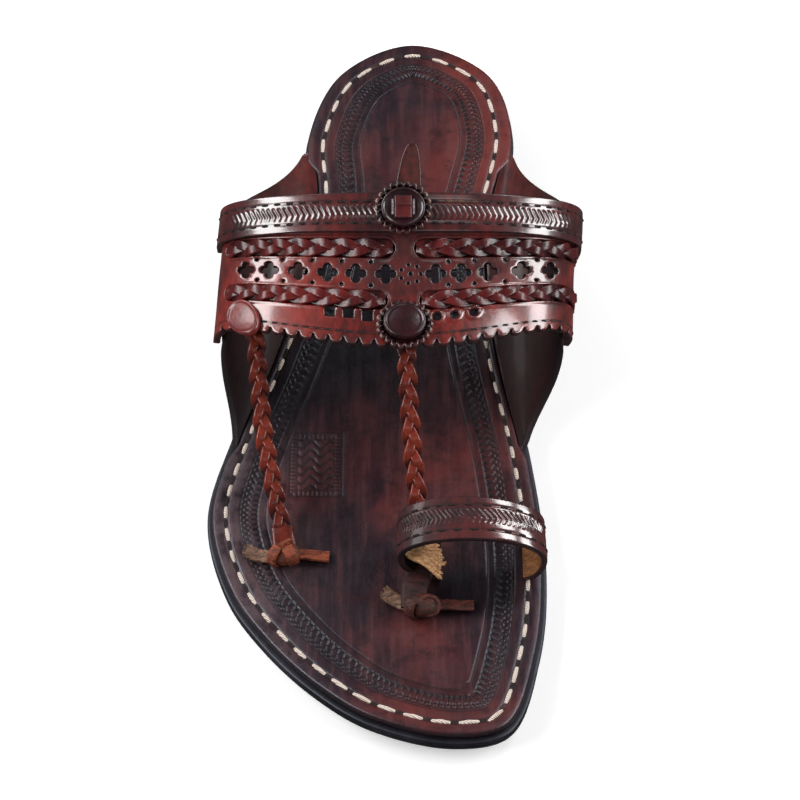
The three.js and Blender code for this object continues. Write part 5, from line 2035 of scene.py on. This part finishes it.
def make_knot(name, node, knot, knot_finish):
    """Knot of leather strip: turns over a lump, with a frayed left tail and a flat right one."""
    x, y = knot["x"], knot["y"]
    floor = float(insole_top(y)) + GAP
    core = np.array((x, y, floor + KNOT_RISE))
    points, faces = ball(core, KNOT_RADII)
    # The lump is darkened all over with painted shade.
    lump = make_mesh(name, points, faces, knot_finish, marks={"fold": np.full(len(points), KNOT_PAINTED_SHADE)})
    for offset, axis, radius, start, end, width in knot["turns"]:
        line = wrap_line(core + offset, axis, radius, start, end, TURN_SLIP)
        merge_into(lump, strips(name + "_turn", [line], width, TURN_THICK, knot_finish))
    degrees, length, width = knot["right_tail"]
    line = tail_line(x, y, floor, degrees, length, FLAT_TAIL_CURL)
    merge_into(lump, strips(name + "_right", [line], width, FLAT_TAIL_THICK, knot_finish))
    add_piece(name, lump, "knot_leather", node)
    degrees, length, width = knot["left_tail"]
    path, up, fold = tail_line(x, y, floor, degrees, length, FRAYED_TAIL_CURL)
    tail = strips(name + "_frayed", [(path, up, fold)], width, FRAYED_TAIL_THICK, frayed_finish)
    way = unit(path[-1] - path[-4])
    across = np.cross(up[0], way)
    t = np.linspace(0, 1, 8)[:, None]
    fibres = []
    for k, share in enumerate(np.linspace(-0.4, 0.4, 5)):
        reach = 0.9 + 0.7 * math.sin(k * 2.3)
        bend = up[0] * 0.8 * math.cos(k * 1.7) * t**2
        line = path[-2] + across * share * width + way * reach * t + bend
        fibres.append((line, np.tile(up[0], (len(t), 1)), 0.0))
    merge_into(tail, strips(name + "_fibres", fibres, 0.95, 0.7, frayed_finish))
    add_piece(name + "_frayed", tail, "knot_leather")


def make_collar(name, thong, collar, finish):
    """Flat end of a thong, where it runs into its knot, sunk below the thong where it starts."""
    start = thong_path(thong)[-COLLAR_OVERLAP] - (0, 0, collar["sink"])
    rest = [np.add(step, (0, 0, BALL_TOP)) for step in collar["path"]]
    bend = smooth_curve(np.vstack([start] + rest), closed=False, count=30)
    ahead = np.gradient(bend, axis=0)
    up = unit(np.cross(np.cross(ahead, (0, 0, 1.0)), ahead))
    mesh = strips(name, [(bend, up, 0.0)], collar["width"], collar["thick"], finish)
    add_piece(name, mesh, "plait_leather")


def make_torn_flap():
    """Raw end of the toe loop turned in over the thong, torn into fibres along its right side."""
    rng = np.random.default_rng(7)
    low, high = TORN_FLAP["left"], TORN_FLAP["right"]

    def place(a, b, height):
        sag = mix(low[2], high[2], a) + 1.6 * np.sin(np.clip(a, 0, 1.2) * math.pi) ** 2
        x = mix(low[0], high[0], a)
        widening = mix(0.35, 1.1, np.clip(a, 0, 1))
        y = mix(low[1], high[1], a) + TORN_FLAP["length"] * (b - 0.5) * widening
        return np.stack([x, y, sag + height - 0.6 * (b - 0.5)], axis=-1)

    rows = np.linspace(0, 1, 27)
    torn = 0.93 + 0.1 * rng.uniform(-1, 1, len(rows))
    right = np.stack([torn, rows], axis=1)
    left = np.stack([np.zeros(14), np.linspace(1, 0, 14)], axis=1)
    border = closed_line(np.vstack([right, left]), step=0.06)
    cut = cut_leather(border, place, FLAP_THICK, rounding=0.006, spacing=0.05)
    points, faces, uv, marks = cut
    # Painted shadow on the flap's left side, where the toe loop shades it.
    marks["fold"] = 0.25 * smoothstep(-uv[:, 0], -0.35, 0.0)
    flap = make_mesh("torn_flap", points, faces, raw_finish, uv, marks)
    t = np.linspace(0, 1, FIBRE_POINTS)
    lines = []
    for _ in range(FLAP_FIBRES):
        across, start = rng.uniform(0.02, 0.98), rng.uniform(0.25, 0.85)
        a = np.linspace(start, start + rng.uniform(0.15, 0.4), FIBRE_POINTS)
        b = across + rng.uniform(-0.05, 0.05) * t
        lift = 1.25 + rng.uniform(0.1, 0.9) * t**2
        lines.append((place(a, b, lift), np.tile((0.2, -0.3, 1.0), (FIBRE_POINTS, 1)), 0.0))
    merge_into(flap, strips("torn_fibres", lines, 0.75, 0.45, raw_finish))
    add_piece("torn_flap", flap, "band_leather")


# Stitches on the upper

def band_row(start, end, pitch, across, lift):
    """Places for stitches along the band, at the distance across(s) from its rear edge."""
    s = np.arange(start, end, pitch)
    points = band_place(s, across(s), lift)
    along = unit(band_place(s + 0.5, across(s + 0.5), lift) - points)
    up = unit(band_place(s, across(s), lift + 1.0) - points)
    return points, along, up


def make_upper_stitches():
    """Dark running stitches on the strip, before the pinked edge and on the toe loop."""
    top = BAND_THICK + GAP + STRIP_THICK + STITCH_LIFT
    rows = []
    for share in STRIP_ROWS:
        for start, end in STRIP_STITCH_SPANS:
            rows.append(band_row(start, end, STRIP_STITCH_PITCH, lambda s: strip_width(s) * share, top))
    front = BAND_LENGTH * STITCH_RUN
    for start, end in FRONT_STITCH_SPANS:
        rows.append(band_row(start, end, FRONT_STITCH_PITCH, lambda s: front, BAND_THICK - 0.08))
    turns, surface = LOOP_STITCH_TURNS, LOOP_THICK + STITCH_LIFT
    for share in LOOP_ROWS:
        run = np.full(len(turns), share)
        points = lifted(loop_by_turn, turns, run, np.full(len(turns), surface))
        above = lifted(loop_by_turn, turns, run, np.full(len(turns), LOOP_THICK + 1.0))
        ahead = lifted(loop_by_turn, turns + 0.02, run, np.full(len(turns), surface))
        rows.append((points, unit(ahead - points), unit(above - points)))
    mesh = stitch_rows("upper_stitches", rows, UPPER_STITCH, dark_thread)
    add_piece("upper_stitches", mesh, "band_leather")


# Stage

def make_floor():
    """Plain pale floor, which the leather doesn't mirror."""
    mesh = bpy.data.meshes.new("floor")
    corners = [(x * FLOOR_REACH, y * FLOOR_REACH, 0) for x, y in ((-1, -1), (1, -1), (1, 1), (-1, 1))]
    mesh.from_pydata(corners, [], [(0, 1, 2, 3)])
    finish = Finish("pale_floor", **{
        "Base Color": (0.9, 0.9, 0.9, 1), "Roughness": 0.9, "Emission Color": (1, 1, 1, 1),
        "Emission Strength": FLOOR_GLOW,
    })
    mesh.materials.append(finish.material)
    floor = bpy.data.objects.new("floor", mesh)
    bpy.context.scene.collection.objects.link(floor)
    floor.visible_glossy = False


def make_lights():
    """Soft area lights and a faint even light all round."""
    world = bpy.data.worlds.new("studio")
    world.use_nodes = True
    world.node_tree.nodes["Background"].inputs["Color"].default_value = (1, 1, 1, 1)
    world.node_tree.nodes["Background"].inputs["Strength"].default_value = ROOM_GLOW
    bpy.context.scene.world = world
    for name, spot, aim, size, power in LIGHTS:
        lamp = bpy.data.lights.new(name, "AREA")
        lamp.shape = "RECTANGLE"
        lamp.size, lamp.size_y = size
        lamp.energy = power
        light = bpy.data.objects.new(name, lamp)
        light.location = spot
        light.rotation_euler = (Vector(aim) - Vector(spot)).to_track_quat("-Z", "Y").to_euler()
        bpy.context.scene.collection.objects.link(light)


def make_camera():
    """The camera at the photograph's angle, and a plain view of its colours."""
    camera_data = bpy.data.cameras.new("camera")
    camera_data.lens = VIEW_LENS
    camera_data.sensor_width = SENSOR_WIDTH
    camera_data.clip_start = 0.05
    camera = bpy.data.objects.new("camera", camera_data)
    target = Vector(VIEW_TARGET) * MM
    rise = math.radians(VIEW_ELEVATION)
    camera.location = target + Vector((0, -math.cos(rise), math.sin(rise))) * VIEW_DISTANCE * MM
    camera.rotation_euler = (target - camera.location).to_track_quat("-Z", "Y").to_euler()
    bpy.context.scene.collection.objects.link(camera)
    bpy.context.scene.camera = camera
    bpy.context.scene.view_settings.view_transform = "Standard"


make_outsole()
make_heel()
make_insole()
make_insole_stitches()
make_ear("ear_flap_left", "ear_left", -1)
make_ear("ear_flap_right", "ear_right", 1)
make_band()
make_top_strip()
make_band_plaits()
make_washer("rear_toothed_washer", "rear_washer", REAR_MEDALLION)
make_medallion("rear_medallion", "rear_disc", REAR_MEDALLION, REAR_DISC_RADIUS, REAR_DISH)
make_threaded_strip()
make_washer("front_toothed_washer", "front_washer", FRONT_MEDALLION)
make_medallion("front_medallion", "front_disc", FRONT_MEDALLION, FRONT_DISC_RADIUS, FRONT_DISH)
make_side_disc()
make_tab()
make_toe_loop()
make_thong("centre_thong_strips", "centre_thong", CENTRE_THONG)
make_thong("side_thong_strips", "side_thong", SIDE_THONG)
make_collar("side_collar", SIDE_THONG, SIDE_COLLAR, thong_finish)
make_collar("centre_collar", CENTRE_THONG, CENTRE_COLLAR, centre_collar_shaded_finish)
make_knot("centre_knot_strips", "centre_knot", CENTRE_KNOT, centre_knot_shaded_finish)
make_knot("side_knot_strips", "side_knot", SIDE_KNOT, side_knot_finish)
make_torn_flap()
make_upper_stitches()
make_floor()
make_lights()
make_camera()
